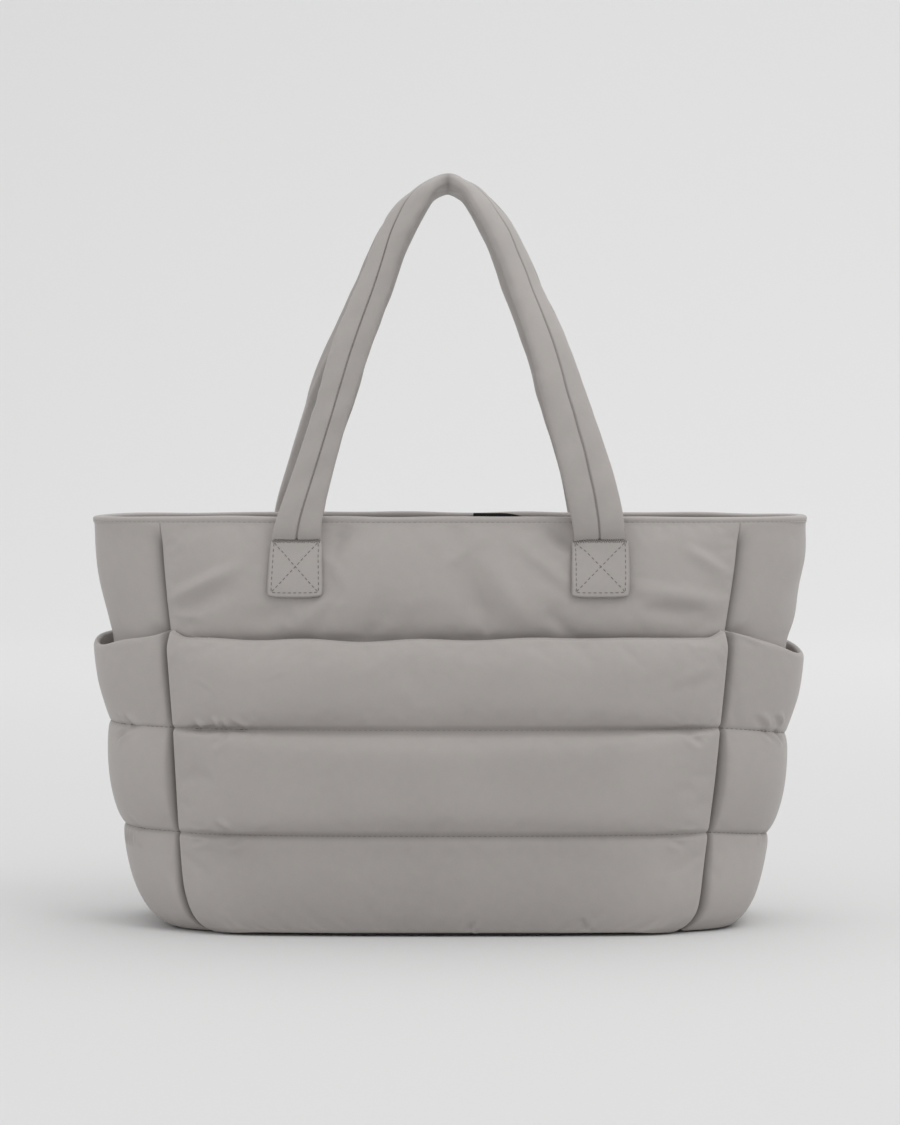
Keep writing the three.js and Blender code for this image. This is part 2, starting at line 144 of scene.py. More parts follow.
# Padding by face of the bag: its column in the channels, and its thickness and rounding at lip and foot
REGIONS = {"front": 2, "side": 3, "back": 4}
LIP_THICKNESS = {"front": 4.5, "side": 3.4, "back": 4.5}
FOOT_THICKNESS = {"front": 13.5, "side": 5.0, "back": 14.0}
FOOT_ROUNDING = {"front": 8.0, "side": 12.0, "back": 8.0}
FOOT_SHARE = {"front": 0.9, "side": 0.45, "back": 0.72}
FOOT_LIFT = 1.4

# How far the pockets stand off the body: height, front pocket, side pockets
POCKET_GAPE = (
    (0.8, 0.4, 0.3),
    (66.0, 1.2, 0.8),
    (134.0, 4.5, 1.2),
    (166.0, 8.0, 5.4),
    (194.0, 10.0, 8.0),
)

# Mouths of the side pockets from front seam to back seam: column, height of the left one, of the right one
SIDE_MOUTHS = (
    (-1.0, 200.5, 199.5),
    (-0.93, 195.2, 195.8),
    (-0.75, 191.8, 189.0),
    (-0.5, 187.5, 182.5),
    (-0.2, 188.5, 181.0),
    (0.3, 192.0, 184.0),
    (1.0, 196.0, 195.0),
)

# How far the sewn lines of each side pocket sag at its middle: height, left, right
SIDE_SAGS = (
    (0.8, 0.0, 0.0),
    (66.0, -1.0, 6.0),
    (134.0, -1.0, 8.0),
    (194.0, 0.0, 0.0),
)

# Soft folds of the upper front: x, height, angle, length, width, depth (a dent where it is negative)
FOLDS = (
    (-163.0, 227.0, 25.0, 74.0, 4.0, 4.4),
    (-160.0, 216.5, 22.0, 62.0, 5.0, -3.4),
    (-171.0, 208.0, -7.0, 32.0, 2.8, 2.8),
    (-169.0, 201.0, 42.0, 20.0, 3.6, -3.4),
    (-120.0, 206.0, 12.0, 50.0, 8.0, -2.6),
    (-88.0, 208.0, 50.0, 38.0, 7.0, 2.2),
    (-72.0, 261.0, 62.0, 34.0, 6.5, -4.4),
    (-40.0, 205.0, 4.0, 90.0, 9.0, -2.2),
    (18.0, 216.0, -62.0, 66.0, 10.0, -5.2),
    (36.0, 226.0, -58.0, 60.0, 8.0, 2.6),
    (72.0, 202.0, -44.0, 30.0, 4.6, -4.2),
    (59.0, 243.0, -38.0, 58.0, 5.0, 2.8),
    (73.0, 261.0, -42.0, 38.0, 6.5, -5.0),
    (150.0, 221.0, -9.0, 74.0, 5.6, 3.0),
    (150.0, 210.0, -6.0, 64.0, 6.0, -3.0),
    (168.0, 243.0, -29.0, 42.0, 4.2, 2.8),
    (166.0, 201.0, 18.0, 30.0, 4.4, -2.8),
)

# Short pleats beside the seams of the front pocket: x, height, angle, length, width, depth
FRONT_PLEATS = (
    (-163.5, 138.5, -40.0, 10.0, 1.7, 1.2),
    (-152.5, 139.5, -46.0, 10.0, 1.7, 1.3),
    (-146.5, 139.0, -55.0, 8.0, 1.5, 1.0),
    (-136.5, 139.5, -26.0, 14.0, 1.8, 1.2),
    (-150.5, 129.0, 40.0, 17.0, 2.4, -1.1),
    (-131.0, 131.0, 24.0, 12.0, 1.8, -0.6),
    (-147.5, 73.0, -36.0, 13.0, 1.8, 1.3),
    (-140.5, 61.5, 25.0, 14.0, 2.0, -1.0),
    (-165.0, 61.0, 12.0, 12.0, 1.8, -0.7),
    (160.0, 171.0, 23.0, 34.0, 4.5, 0.7),
    (150.0, 163.0, 30.0, 20.0, 3.0, -0.3),
    (160.0, 129.0, -36.0, 15.0, 2.2, -0.9),
    (148.0, 61.0, -30.0, 15.0, 2.2, -0.9),
    (-113.0, 171.5, 25.0, 20.0, 1.2, 0.3),
    (-160.0, 164.5, -30.0, 17.0, 1.2, 0.3),
    (14.0, 6.5, 70.0, 9.0, 1.8, -1.2),
    (88.0, 8.0, 110.0, 10.0, 1.8, -1.1),
)

# Short pleats of the side pockets, the same on their far halves: y, height, angle, length, width, depth
SIDE_PLEATS = {
    -1: (
        (-47.0, 138.5, 62.0, 11.0, 1.6, 1.7),
        (-41.0, 139.0, 66.0, 9.0, 1.5, 1.3),
        (-41.0, 129.0, -52.0, 14.0, 1.8, -1.7),
        (-27.0, 59.5, 76.0, 14.0, 1.4, 1.2),
        (-32.0, 59.5, 76.0, 14.0, 1.4, 1.2),
        (-36.5, 59.5, 77.0, 14.0, 1.4, 1.3),
        (-40.5, 59.5, 78.0, 13.0, 1.4, 1.2),
        (-44.0, 59.5, 80.0, 12.0, 1.4, 1.4),
        (-46.0, 71.0, 60.0, 10.0, 1.6, 1.3),
    ),
    1: (
        (-50.0, 194.0, -58.0, 12.0, 1.5, -1.2),
        (-47.0, 138.5, -60.0, 13.0, 1.6, 1.7),
        (-37.0, 138.5, -56.0, 12.0, 1.6, 1.7),
        (-35.0, 127.0, -56.0, 14.0, 1.8, -1.6),
        (-44.0, 128.0, -64.0, 11.0, 1.6, -1.1),
        (-38.0, 60.0, 74.0, 12.0, 1.5, 1.2),
        (-30.0, 60.0, 76.0, 11.0, 1.5, 1.1),
    ),
}

# One leg of the front handle from its sewn end up: x, y, height, turn, thickness
HANDLE_LEG = (
    (99.4, -60.4, 254.0, 0.0, 2.4),
    (99.4, -61.6, 258.6, 0.0, 3.6),
    (99.0, -64.4, 264.3, 1.0, 6.2),
    (97.2, -65.4, 276.3, 8.0, 8.0),
    (90.5, -62.0, 304.3, 24.0, 10.0),
    (79.0, -55.0, 343.3, 35.0, 10.5),
    (66.5, -47.0, 383.3, 45.0, 10.5),
    (50.5, -38.0, 422.3, 55.0, 10.5),
    (34.0, -29.0, 462.3, 64.0, 11.0),
    (17.5, -22.5, 486.3, 78.0, 9.8),
    (9.0, -20.6, 492.4, 85.0, 10.0),
    (0.0, -20.0, 495.0, 90.0, 11.4),
)

# Gathers of the front handle: height, then shift, turn and share of breadth of the left leg and of the right
GATHERS = (
    (254.0, 0.0, 0.0, 1.0, 0.0, 0.0, 1.0),
    (264.0, 0.4, 0.0, 0.94, 0.0, 1.0, 1.0),
    (276.3, 1.2, -2.0, 0.83, 0.0, 8.0, 1.0),
    (304.3, 2.6, -8.0, 0.71, 0.0, 24.0, 1.0),
    (343.3, 2.6, -10.0, 0.66, 0.0, 35.0, 1.0),
    (383.3, 2.0, -10.0, 0.69, 0.6, 45.0, 0.95),
    (413.0, 0.8, -4.0, 0.64, 1.2, 52.5, 0.9),
    (443.0, -0.2, 8.0, 0.56, 1.2, 59.0, 0.9),
    (462.3, -0.4, 34.0, 0.62, 0.6, 64.0, 0.95),
    (478.0, -0.8, 58.0, 0.80, 0.2, 72.0, 1.0),
    (486.3, -0.4, 74.0, 0.92, 0.0, 78.0, 1.0),
    (494.8, 0.0, 90.0, 1.0, 0.0, 90.0, 1.0),
)

# Tabs of the left and right legs: middle and half width at the top, the same at the bottom
TABS = {-1: (-100.8, 16.8, -101.4, 18.4), 1: (98.8, 18.6, 98.4, 19.4)}

# How each handle hangs: sideways shift, extra shift of its feet, share of extra breadth
HANDLE_HANG = {-1: (-1.3, 0.0, 0.0), 1: (-1.6, -1.3, 0.035)}
SIDE_NAMES = {-1: "left", 1: "right"}
FACE_NAMES = {-1: "front", 1: "back"}


# Settings

class BagSizes(bpy.types.PropertyGroup):
    """Sizes of the bag's sewing that may be changed without a new frame"""

    wall: bpy.props.FloatProperty(
        name="Wall", description="Padded thickness of the body's panels", default=0.007, unit="LENGTH")
    seam_padding: bpy.props.FloatProperty(
        name="Seam padding", description="Padding left along a sewn channel line",
        default=0.0034, unit="LENGTH")
    handle_width: bpy.props.FloatProperty(
        name="Handle width", description="Breadth of the padded handles", default=0.036, unit="LENGTH")
    tab_thickness: bpy.props.FloatProperty(
        name="Tab thickness", description="Thickness of the tabs", default=0.0028, unit="LENGTH")
    stitch_pitch: bpy.props.FloatProperty(
        name="Stitch pitch", description="Distance from one stitch to the next",
        default=0.0034, unit="LENGTH")
    stitch_length: bpy.props.FloatProperty(
        name="Stitch length", description="Visible length of one stitch", default=0.0024, unit="LENGTH")
    thread_radius: bpy.props.FloatProperty(
        name="Thread radius", description="Half the thread's thickness", default=0.00026, unit="LENGTH")


class BagCloth(bpy.types.PropertyGroup):
    """How the cloth swells between its seams"""

    push: bpy.props.FloatProperty(
        name="Push", description="Pressure of the filling under the cloth", default=14.0)
    slack: bpy.props.FloatProperty(
        name="Slack", description="Share by which the cloth is larger than its seams", default=0.006)
    end_slack: bpy.props.FloatProperty(
        name="End slack", description="The same share near the ends of the seams", default=0.035)
    stiffness: bpy.props.FloatProperty(
        name="Stiffness", description="How much the cloth resists bending", default=0.5)
    frames: bpy.props.IntProperty(
        name="Frames", description="Length of the simulation", default=20)
    reach: bpy.props.FloatProperty(
        name="Reach", description="Furthest that a point may move", default=0.003, unit="LENGTH")


class BagFinish(bpy.types.PropertyGroup):
    """Colours of the bag's cloth, thread and trim"""

    cloth: bpy.props.FloatVectorProperty(
        name="Cloth", description="Colour of the outer cloth", subtype="COLOR", size=4,
        default=(0.40, 0.372, 0.355, 1.0))
    # Strap: the same cloth a little darker, painted shade that tones down the handles' brighter light
    strap: bpy.props.FloatVectorProperty(
        name="Strap", description="Colour of the handles and tabs", subtype="COLOR", size=4,
        default=(0.392, 0.366, 0.349, 1.0))
    lining: bpy.props.FloatVectorProperty(
        name="Lining", description="Colour of the cloth inside", subtype="COLOR", size=4,
        default=(0.30, 0.28, 0.265, 1.0))
    # Dark thread: the thread's own colour, darkened as painted shade of the stitch holes
    thread: bpy.props.FloatVectorProperty(
        name="Thread", description="Colour of the stitches", subtype="COLOR", size=4,
        default=(0.15, 0.14, 0.133, 1.0))
    pale_thread: bpy.props.FloatVectorProperty(
        name="Pale thread", description="Colour of the rim's stitches", subtype="COLOR", size=4,
        default=(0.30, 0.28, 0.265, 1.0))
    # Near black: painted shadow that stands in for the contact shadow under the foot
    painted_shadow: bpy.props.FloatVectorProperty(
        name="Painted shadow", description="Colour of the welt under the bag's foot", subtype="COLOR", size=4,
        default=(0.03, 0.028, 0.027, 1.0))
    webbing: bpy.props.FloatVectorProperty(
        name="Webbing", description="Colour of the small inner tab", subtype="COLOR", size=4,
        default=(0.006, 0.006, 0.006, 1.0))


class BagStage(bpy.types.PropertyGroup):
    """Floor, light and camera"""

    floor: bpy.props.FloatVectorProperty(
        name="Floor", description="Colour of the floor and backdrop", subtype="COLOR", size=4,
        default=(0.772, 0.772, 0.772, 1.0))
    # Painted shade: the floor is darker from under the bag towards the camera, to even out the lamps' light
    # there
    near_floor: bpy.props.FloatProperty(
        name="Near floor", description="Share of the floor's tone near the camera", default=0.855)
    daylight: bpy.props.FloatProperty(
        name="Daylight", description="Strength of the even light from all round", default=0.74)
    overhead: bpy.props.FloatProperty(
        name="Overhead", description="Power of the large soft light above", default=98.0, unit="POWER")
    front: bpy.props.FloatProperty(
        name="Front", description="Power of the soft light above the camera", default=19.0, unit="POWER")
    fill: bpy.props.FloatProperty(
        name="Fill", description="Power of the low light from the left", default=5.0, unit="POWER")
    lens: bpy.props.FloatProperty(
        name="Lens", description="Focal length of the camera in millimetres", default=113.2)


# Shape of the bag, in millimetres

def smooth_column(table, column, at):
    """One column of a table on a smooth curve through its rows, which rise with their first value."""
    knots = np.array([row[0] for row in table])
    values = np.array([row[column] for row in table])
    last = len(table) - 1
    before = np.maximum(np.arange(last + 1) - 1, 0)
    after = np.minimum(np.arange(last + 1) + 1, last)
    slopes = (values[after] - values[before]) / (knots[after] - knots[before])
    at = np.clip(at, knots[0], knots[-1])
    low = np.clip(np.searchsorted(knots, at, side="right") - 1, 0, last - 1)
    span = knots[low + 1] - knots[low]
    share = (at - knots[low]) / span
    rise = share * share * (3 - 2 * share)
    leave = share * (1 - share) ** 2 * slopes[low] * span
    arrive = share * share * (share - 1) * slopes[low + 1] * span
    return values[low] + (values[low + 1] - values[low]) * rise + leave + arrive


def smoothstep(share):
    share = np.clip(share, 0, 1)
    return share * share * (3 - 2 * share)


def bell(distance, width):
    """From 1 at no distance down to 0, on a bell curve."""
    return np.exp(-((distance / width) ** 2))


def from_seam(column, half_span):
    """Distance of a column from the nearer corner seam."""
    return half_span * (1 - np.abs(column))


def slanted(u, z, place, height, angle):
    """Distances along and across a crease at a place of a face."""
    turn = math.radians(angle)
    along = (u - place) * math.cos(turn) + (z - height) * math.sin(turn)
    across = (z - height) * math.cos(turn) - (u - place) * math.sin(turn)
    return along, across


def rows_at(heights, lines):
    """Rows nearest to the given lines."""
    return [int(np.argmin(np.abs(heights - line))) for line in lines]


def nearest(heights, lines):
    """Distance of each row from the nearest of the given lines."""
    return np.min(np.abs(heights[:, None] - np.asarray(lines)[None, :]), axis=1)


def level_at(z):
    """Half width, half depth, corner seam's x and lean of the body at a height."""
    return tuple(smooth_column(LEVELS, column, z) for column in (1, 2, 3, 4))


def superellipse(share, z=RIM_HEIGHT):
    """The other coordinate of the rounded outline that every level follows, squarer at the foot."""
    power = SECTION_POWER + (FOOT_POWER - SECTION_POWER) * smoothstep((60 - z) / 60)
    return np.maximum(1 - np.abs(share) ** power, 0) ** (1 / power)


def pocket_seam(side, z, table=POCKET_SEAMS):
    """The x of a pocket's front corner seam, left where the side is negative."""
    return np.where(side < 0, smooth_column(table, 1, z), smooth_column(table, 2, z))


def panel_seam(side, z):
    """The same for the body panels behind the pockets."""
    return pocket_seam(side, z, PANEL_SEAMS)


def face_points(facing, column, z, offset, seam_x=None):
    """Points of the front (-1) or back (1), between the corner seams at column -1 and 1."""
    half_width, half_depth, body_seam, lean = level_at(z)
    share = column * (body_seam if seam_x is None else seam_x) / half_width
    x = lean + (half_width + offset) * share
    y = facing * (half_depth + offset) * superellipse(share, z)
    return np.stack(np.broadcast_arrays(x, y, z), axis=-1)


def side_points(facing, column, z, offset, seam_x=None):
    """Points of the left (-1) or right (1) side, from the front seam at column -1 to the back one at 1."""
    half_width, half_depth, body_seam, lean = level_at(z)
    if seam_x is not None:
        body_seam = np.where(column < 0, seam_x, body_seam)
    share = column * superellipse(body_seam / half_width, z)
    x = lean + facing * (half_width + offset) * superellipse(share, z)
    y = (half_depth + offset) * share
    return np.stack(np.broadcast_arrays(x, y, z), axis=-1)


def ripples(u, v, pitch, seed, layers=6):
    """Soft seeded unevenness of about -1 to 1 over two coordinates."""
    chance = np.random.default_rng(seed)
    total = np.zeros(np.broadcast(u, v).shape)
    for _ in range(layers):
        turn = chance.uniform(0, math.pi)
        size = pitch * chance.uniform(0.7, 1.6)
        start = chance.uniform(0, 2 * math.pi)
        total += np.sin(2 * math.pi * (u * math.cos(turn) + v * math.sin(turn)) / size + start)
    return total / math.sqrt(layers)


def channel_at(z):
    """Index of the quilted channel at a height, and the share of the way down it."""
    index = np.where(z >= CHANNELS[1][0], 0, np.where(z >= CHANNELS[2][0], 1, 2))
    tops = np.array([row[0] for row in CHANNELS])[index]
    bottoms = np.array([row[1] for row in CHANNELS])[index]
    return index, np.clip((tops - z) / (tops - bottoms), 0, 1)


def quarter_round(distance, radius):
    """From 0 at an edge to 1 at a distance of one radius, along a quarter circle."""
    inward = np.clip(distance / radius, 0, 1)
    return np.sqrt(np.maximum(1 - (1 - inward) ** 2, 0))


def quilt_thickness(z, column, half_span, region, seam):
    """Padding of a quilted face: full between its sewn lines, thin along them and at its corner seams."""
    index, share = channel_at(z)
    power = np.array(PUFF_POWERS[region])[index]
    swell = np.maximum(1 - np.abs(1 - 2 * share ** PUFF_SAG[region]) ** power, 0) ** (1 / power)
    full = np.array([row[REGIONS[region]] for row in CHANNELS])[index]
    edge = np.where((index == 0) & (share < 0.5), LIP_THICKNESS[region], seam)
    line = np.where(share > 0.5, index, index - 1)
    edge = edge + np.array(SEAM_LIFT[region])[line]
    padding = edge + (full - edge) * swell
    lowest = full + (FOOT_THICKNESS[region] - full) * (2 * share - 1) ** 2
    padding = np.where((index == 2) & (share > 0.5), lowest, padding)
    least = FOOT_SHARE[region]
    rounded = least + (1 - least) * quarter_round(z - FOOT, FOOT_ROUNDING[region])
    inward = from_seam(column, half_span)
    groove = bell(z - SEWN_LINES[0], 1.3) + bell(z - SEWN_LINES[1], 1.3)
    corner = CORNER_PADDING[region] * (1 - 0.22 * groove - 0.4 * smoothstep((z - MOUTH_HEIGHT + 12) / 12))
    if region == "side":
        blend = smoothstep((inward - CORNER_COVER) / CORNER_ROUNDING[region])
    else:
        blend = np.sin(math.pi / 2 * np.clip(inward / CORNER_ROUNDING[region], 0, 1))
    padding = (corner + (padding - corner) * blend) * rounded
    return padding - CORNER_EDGE[region] * (1 - quarter_round(inward, 1.0))


def upper_swell(z, column, most):
    """Swell of a body panel between the pocket mouths and the rim."""
    share = np.clip((z - MOUTH_HEIGHT) / (RIM_HEIGHT - 6 - MOUTH_HEIGHT), 0, 1)
    return most * np.maximum(np.sin(math.pi * share ** 0.8), 0) ** 0.8 * (1 - np.abs(column) ** 7)


def fold_depth(x, z):
    """Depth of the soft folds at places of the upper front."""
    depth = np.zeros(np.broadcast(x, z).shape)
    for fold_x, fold_z, angle, length, width, most in FOLDS:
        along, across = slanted(x, z, fold_x, fold_z, angle)
        reach = np.maximum(1 - (2 * along / length) ** 2, 0)
        depth += most * reach * bell(across, width)
    share = (z - MOUTH_HEIGHT) / (RIM_HEIGHT - 4 - MOUTH_HEIGHT)
    return depth * np.clip(np.minimum(4 * share, 7 * (1 - share)), 0, 1)


def front_offset(column, z):
    """Offset of the upper front's outer face, which the tabs follow too."""
    seam_x = level_at(z)[2]
    return upper_swell(z, column, UPPER_SWELL) + fold_depth(column * seam_x, z) * (1 - column ** 12)


def pocket_gape(region, column, z):
    """How far a pocket's inner face stands off the body."""
    return 0.4 + smooth_column(POCKET_GAPE, 1 if region == "front" else 2, z) * (1 - column ** 2)


def lip_rounding(region, z):
    """How much of a pocket's lip is rounded off at its edge."""
    half = LIP_THICKNESS[region] / 2
    return half * (1 - quarter_round(MOUTH_HEIGHT - z, half))


def side_height(facing, column, z):
    """Height of a side pocket's point, with its sloping mouth and sagging lines."""
    upper = smoothstep((z - CHANNELS[0][1]) / (MOUTH_HEIGHT - CHANNELS[0][1]))
    mouth = smooth_column(SIDE_MOUTHS, 1 if facing < 0 else 2, column)
    sag = smooth_column(SIDE_SAGS, 1 if facing < 0 else 2, z) * (1 - column ** 2)
    return z + (mouth - MOUTH_HEIGHT) * upper - sag


def even_columns(count):
    """Columns from -1 to 1, closer together towards the corner seams."""
    t = np.linspace(-1, 1, count)
    return 0.5 * t + 0.5 * np.sin(math.pi / 2 * t)


def seamed_columns(count, half_span):
    """Columns from -1 to 1 with a few close ones beside each corner seam."""
    close = 1 - np.array([0.0, 0.3, 0.8, 1.5, 2.3, 3.0]) / half_span
    middle = even_columns(count) * (1 - 3.8 / half_span)
    return np.concatenate([-close, middle, close[::-1]])


def channel_heights(steps):
    """Heights of the rows through the channels, from the mouth down, closer together at the sewn lines."""
    t = np.linspace(0, 1, steps + 1)
    spread = 0.45 * t + 0.55 * (1 - np.cos(math.pi * t)) / 2
    rows = [top + (bottom - top) * spread[1:] for top, bottom, *_ in CHANNELS]
    lip = MOUTH_HEIGHT - np.array([0.0, 0.25, 0.7, 1.4])
    foot = FOOT + np.array([3.4, 2.2, 1.2, 0.5])
    heights = np.concatenate([lip, *rows, foot])
    return np.unique(np.round(heights, 3))[::-1]


def painted_seam_shade(column, half_span, width):
    """Painted shade along the corner seams."""
    return bell(from_seam(column, half_span), width)


def painted_edge_highlight(column, half_span):
    """Painted highlight on the rounded edge beside the corner seams."""
    return -0.12 * bell(from_seam(column, half_span) - 1.0, 0.9)


# Mesh helpers

def grid_faces(rows, columns, flip, start=0):
    """Four-sided faces over a grid of points."""
    corner = start + np.arange(rows - 1)[:, None] * columns + np.arange(columns - 1)[None, :]
    faces = np.stack([corner, corner + columns, corner + columns + 1, corner + 1], axis=-1).reshape(-1, 4)
    return faces[:, ::-1] if flip else faces


def new_piece(name, points, faces, uv=None, marks=None):
    """A new object at the origin from points in millimetres, with its own map and marks."""
    mesh = bpy.data.meshes.new(name)
    mesh.from_pydata((np.asarray(points) * MM).tolist(), [], [list(map(int, face)) for face in faces])
    corners = np.empty(len(mesh.loops), dtype=np.int32)
    mesh.loops.foreach_get("vertex_index", corners)
    if uv is not None:
        layer = mesh.uv_layers.new(name="cloth")
        layer.data.foreach_set("uv", (np.asarray(uv)[corners] * MM).astype(np.float32).ravel())
    for mark, values in (marks or {}).items():
        attribute = mesh.attributes.new(mark, "FLOAT", "POINT")
        attribute.data.foreach_set("value", np.asarray(values, dtype=np.float32).ravel())
    piece = bpy.data.objects.new(name, mesh)
    bpy.context.scene.collection.objects.link(piece)
    return piece


def select_only(piece):
    bpy.ops.object.select_all(action="DESELECT")
    piece.select_set(True)
    bpy.context.view_layer.objects.active = piece


def face_outward(piece):
    """Turn every face of a piece outward."""
    select_only(piece)
    bpy.ops.object.mode_set(mode="EDIT")
    bpy.ops.mesh.select_all(action="SELECT")
    bpy.ops.mesh.normals_make_consistent(inside=False)
    bpy.ops.object.mode_set(mode="OBJECT")


def flat_map(piece, across, up):
    """Lay the map of a piece flat along two of its axes."""
    layer = piece.data.uv_layers.active or piece.data.uv_layers.new(name="cloth")
    layer.name = "cloth"
    for loop in piece.data.loops:
        point = piece.data.vertices[loop.vertex_index].co
        layer.data[loop.index].uv = (point[across], point[up])


def apply_modifiers(piece):
    """Apply every modifier of a piece, in order."""
    select_only(piece)
    for modifier in list(piece.modifiers):
        bpy.ops.object.modifier_apply(modifier=modifier.name)


def refine(piece, levels=1):
    """Smooth a piece with one applied subdivision."""
    modifier = piece.modifiers.new("smooth", "SUBSURF")
    modifier.levels = levels
    modifier.render_levels = levels
    modifier.boundary_smooth = "PRESERVE_CORNERS"
    apply_modifiers(piece)
    piece.data.shade_smooth()


def crease_lines(piece, lines, amount):
    """Keep rows of points sharp through the subdivision."""
    mesh = piece.data
    ends = np.empty(len(mesh.edges) * 2, dtype=np.int32)
    mesh.edges.foreach_get("vertices", ends)
    ends = ends.reshape(-1, 2)
    line_of = np.full(len(mesh.vertices), -1)
    for number, line in enumerate(lines):
        line_of[line] = number
    together = (line_of[ends[:, 0]] >= 0) & (line_of[ends[:, 0]] == line_of[ends[:, 1]])
    attribute = mesh.attributes.new("crease_edge", "FLOAT", "EDGE")
    attribute.data.foreach_set("value", np.where(together, amount, 0).astype(np.float32))


def arc_lengths(points, axis):
    """Distance run along a grid of points, from its first row or column."""
    steps = np.linalg.norm(np.diff(points, axis=axis), axis=-1)
    start = np.zeros_like(np.take(steps, [0], axis=axis))
    return np.concatenate([start, np.cumsum(steps, axis=axis)], axis=axis)


def padded_wall(name, outer, inner, flip, sewn, seam_rows=()):
    """A closed padded piece between an outer and an inner grid, joined round its four edges."""
    rows, columns, _ = outer.shape
    count = rows * columns
    faces = [grid_faces(rows, columns, flip), grid_faces(rows, columns, not flip, count)]
    top = np.arange(columns)
    bottom = top + (rows - 1) * columns
    left = np.arange(rows) * columns
    right = left + columns - 1
    for line in (top[::-1], bottom, left, right[::-1]):
        strip = np.stack([line[:-1], line[:-1] + count, line[1:] + count, line[1:]], axis=-1)
        faces.append(strip[:, ::-1] if flip else strip)
    faces = np.concatenate(faces)
    points = np.concatenate([outer.reshape(-1, 3), inner.reshape(-1, 3)])
    middle = outer[rows // 2:rows // 2 + 1]
    across = np.broadcast_to(arc_lengths(middle, 1)[..., None], (1, columns, 1))[0, :, 0]
    down = arc_lengths(outer[:, columns // 2:columns // 2 + 1], 0)[:, 0]
    uv = np.stack(np.broadcast_arrays(across[None, :], -down[:, None]), axis=-1).reshape(-1, 2)
    # The sewn mark of the outer side is painted shade, and painted highlight where it is below 0; the inner
    # side gets none
    marks = {"sewn": np.concatenate([sewn.ravel(), np.zeros(count)])}
    marks["inside"] = np.concatenate([np.zeros(count), np.ones(count)])
    piece = new_piece(name, points, faces, np.concatenate([uv, uv]), marks)
    if len(seam_rows):
        crease_lines(piece, [np.arange(columns) + row * columns for row in seam_rows], 0.75)
    return piece


def loft(name, rings, is_loop, marks=None):
    """A closed piece through rings of points, with flat ends unless it is a loop."""
    count, sides, _ = rings.shape
    ring = np.arange(count if is_loop else count - 1)[:, None]
    side = np.arange(sides)[None, :]
    after_ring = (ring + 1) % count
    after_side = (side + 1) % sides
    corners = [ring * sides + side, ring * sides + after_side,
               after_ring * sides + after_side, after_ring * sides + side]
    corners = [np.broadcast_to(corner, (len(ring), sides)) for corner in corners]
    faces = np.stack(corners, axis=-1).reshape(-1, 4).tolist()
    if not is_loop:
        faces.append(list(range(sides))[::-1])
        faces.append([(count - 1) * sides + j for j in range(sides)])
    points = rings.reshape(-1, 3)
    around = arc_lengths(np.concatenate([rings, rings[:, :1]], axis=1), 1)[:, :-1]
    along = arc_lengths(rings.mean(axis=1, keepdims=True), 0)
    uv = np.stack(np.broadcast_arrays(around, along), axis=-1).reshape(-1, 2)
    piece = new_piece(name, points, faces, uv, marks)
    face_outward(piece)
    return piece


def swell_cloth(grid, held, loose, flip, push, slack, reach):
    """Let the cloth of one face swell between the points where it is held, by simulation.

    The cloth is larger than its seams by the first share of slack, and by the second where it is loose.
    """
    scene = bpy.context.scene
    cloth = scene.bag_cloth
    rows, columns, _ = grid.shape
    worker = new_piece("cloth_worker", grid.reshape(-1, 3), grid_faces(rows, columns, flip))
    group = worker.vertex_groups.new(name="held")
    group.add(np.flatnonzero(held.ravel()).tolist(), 1.0, "REPLACE")
    ease = worker.vertex_groups.new(name="loose")
    steps = np.round(np.clip(loose, 0, 1).ravel() * 8).astype(int)
    for step in range(9):
        ease.add(np.flatnonzero(steps == step).tolist(), step / 8, "REPLACE")
    modifier = worker.modifiers.new("cloth", "CLOTH")
    settings = modifier.settings
    for option, value in CLOTH_OPTIONS.items():
        setattr(settings, option, value)
    settings.bending_stiffness = cloth.stiffness
    settings.uniform_pressure_force = push
    settings.shrink_min = -slack[0]
    settings.shrink_max = -slack[1]
    settings.effector_weights.gravity = 0
    modifier.collision_settings.use_collision = False
    modifier.collision_settings.use_self_collision = False
    modifier.point_cache.frame_start = 1
    modifier.point_cache.frame_end = cloth.frames
    for step in range(1, cloth.frames + 1):
        scene.frame_set(step)
    select_only(worker)
    bpy.ops.object.modifier_apply(modifier=modifier.name)
    result = np.empty(rows * columns * 3)
    worker.data.vertices.foreach_get("co", result)
    bpy.data.objects.remove(worker, do_unlink=True)
    scene.frame_set(1)
    moved = result.reshape(rows, columns, 3) / MM - grid
    length = np.linalg.norm(moved, axis=-1, keepdims=True)
    eased = reach * np.tanh(length / reach)
    return grid + moved * eased / np.maximum(length, 1e-9)


def press_pleats(piece, pleats, across):
    """Press short creases into a refined piece along its normals; the axis across its face is given."""
    mesh = piece.data
    count = len(mesh.vertices)
    points = np.empty(count * 3)
    normals = np.empty(count * 3)
    inside = np.empty(count)
    mesh.vertices.foreach_get("co", points)
    mesh.vertex_normals.foreach_get("vector", normals)
    mesh.attributes["inside"].data.foreach_get("value", inside)
    points = points.reshape(-1, 3)
    u = points[:, across] / MM
    z = points[:, 2] / MM
    depth = np.zeros(count)
    for place, height, angle, length, width, most in pleats:
        along, off = slanted(u, z, place, height, angle)
        reach = np.maximum(1 - (2 * along / length) ** 2, 0)
        ridge = bell(off, width) - 0.55 * bell(off + 1.8 * width, width)
        depth += 1.2 * most * reach * ridge
    depth *= inside < 0.5
    points += normals.reshape(-1, 3) * depth[:, None] * MM
    mesh.vertices.foreach_set("co", points.ravel())
    mesh.update()


def seat(piece, node, material):
    """Finish a piece: give it its material, attach it to the root and hide the part it stands for."""
    piece.data.materials.clear()
    piece.data.materials.append(material)
    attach(piece, "root")
    if node:
        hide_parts(node)


# Finishes

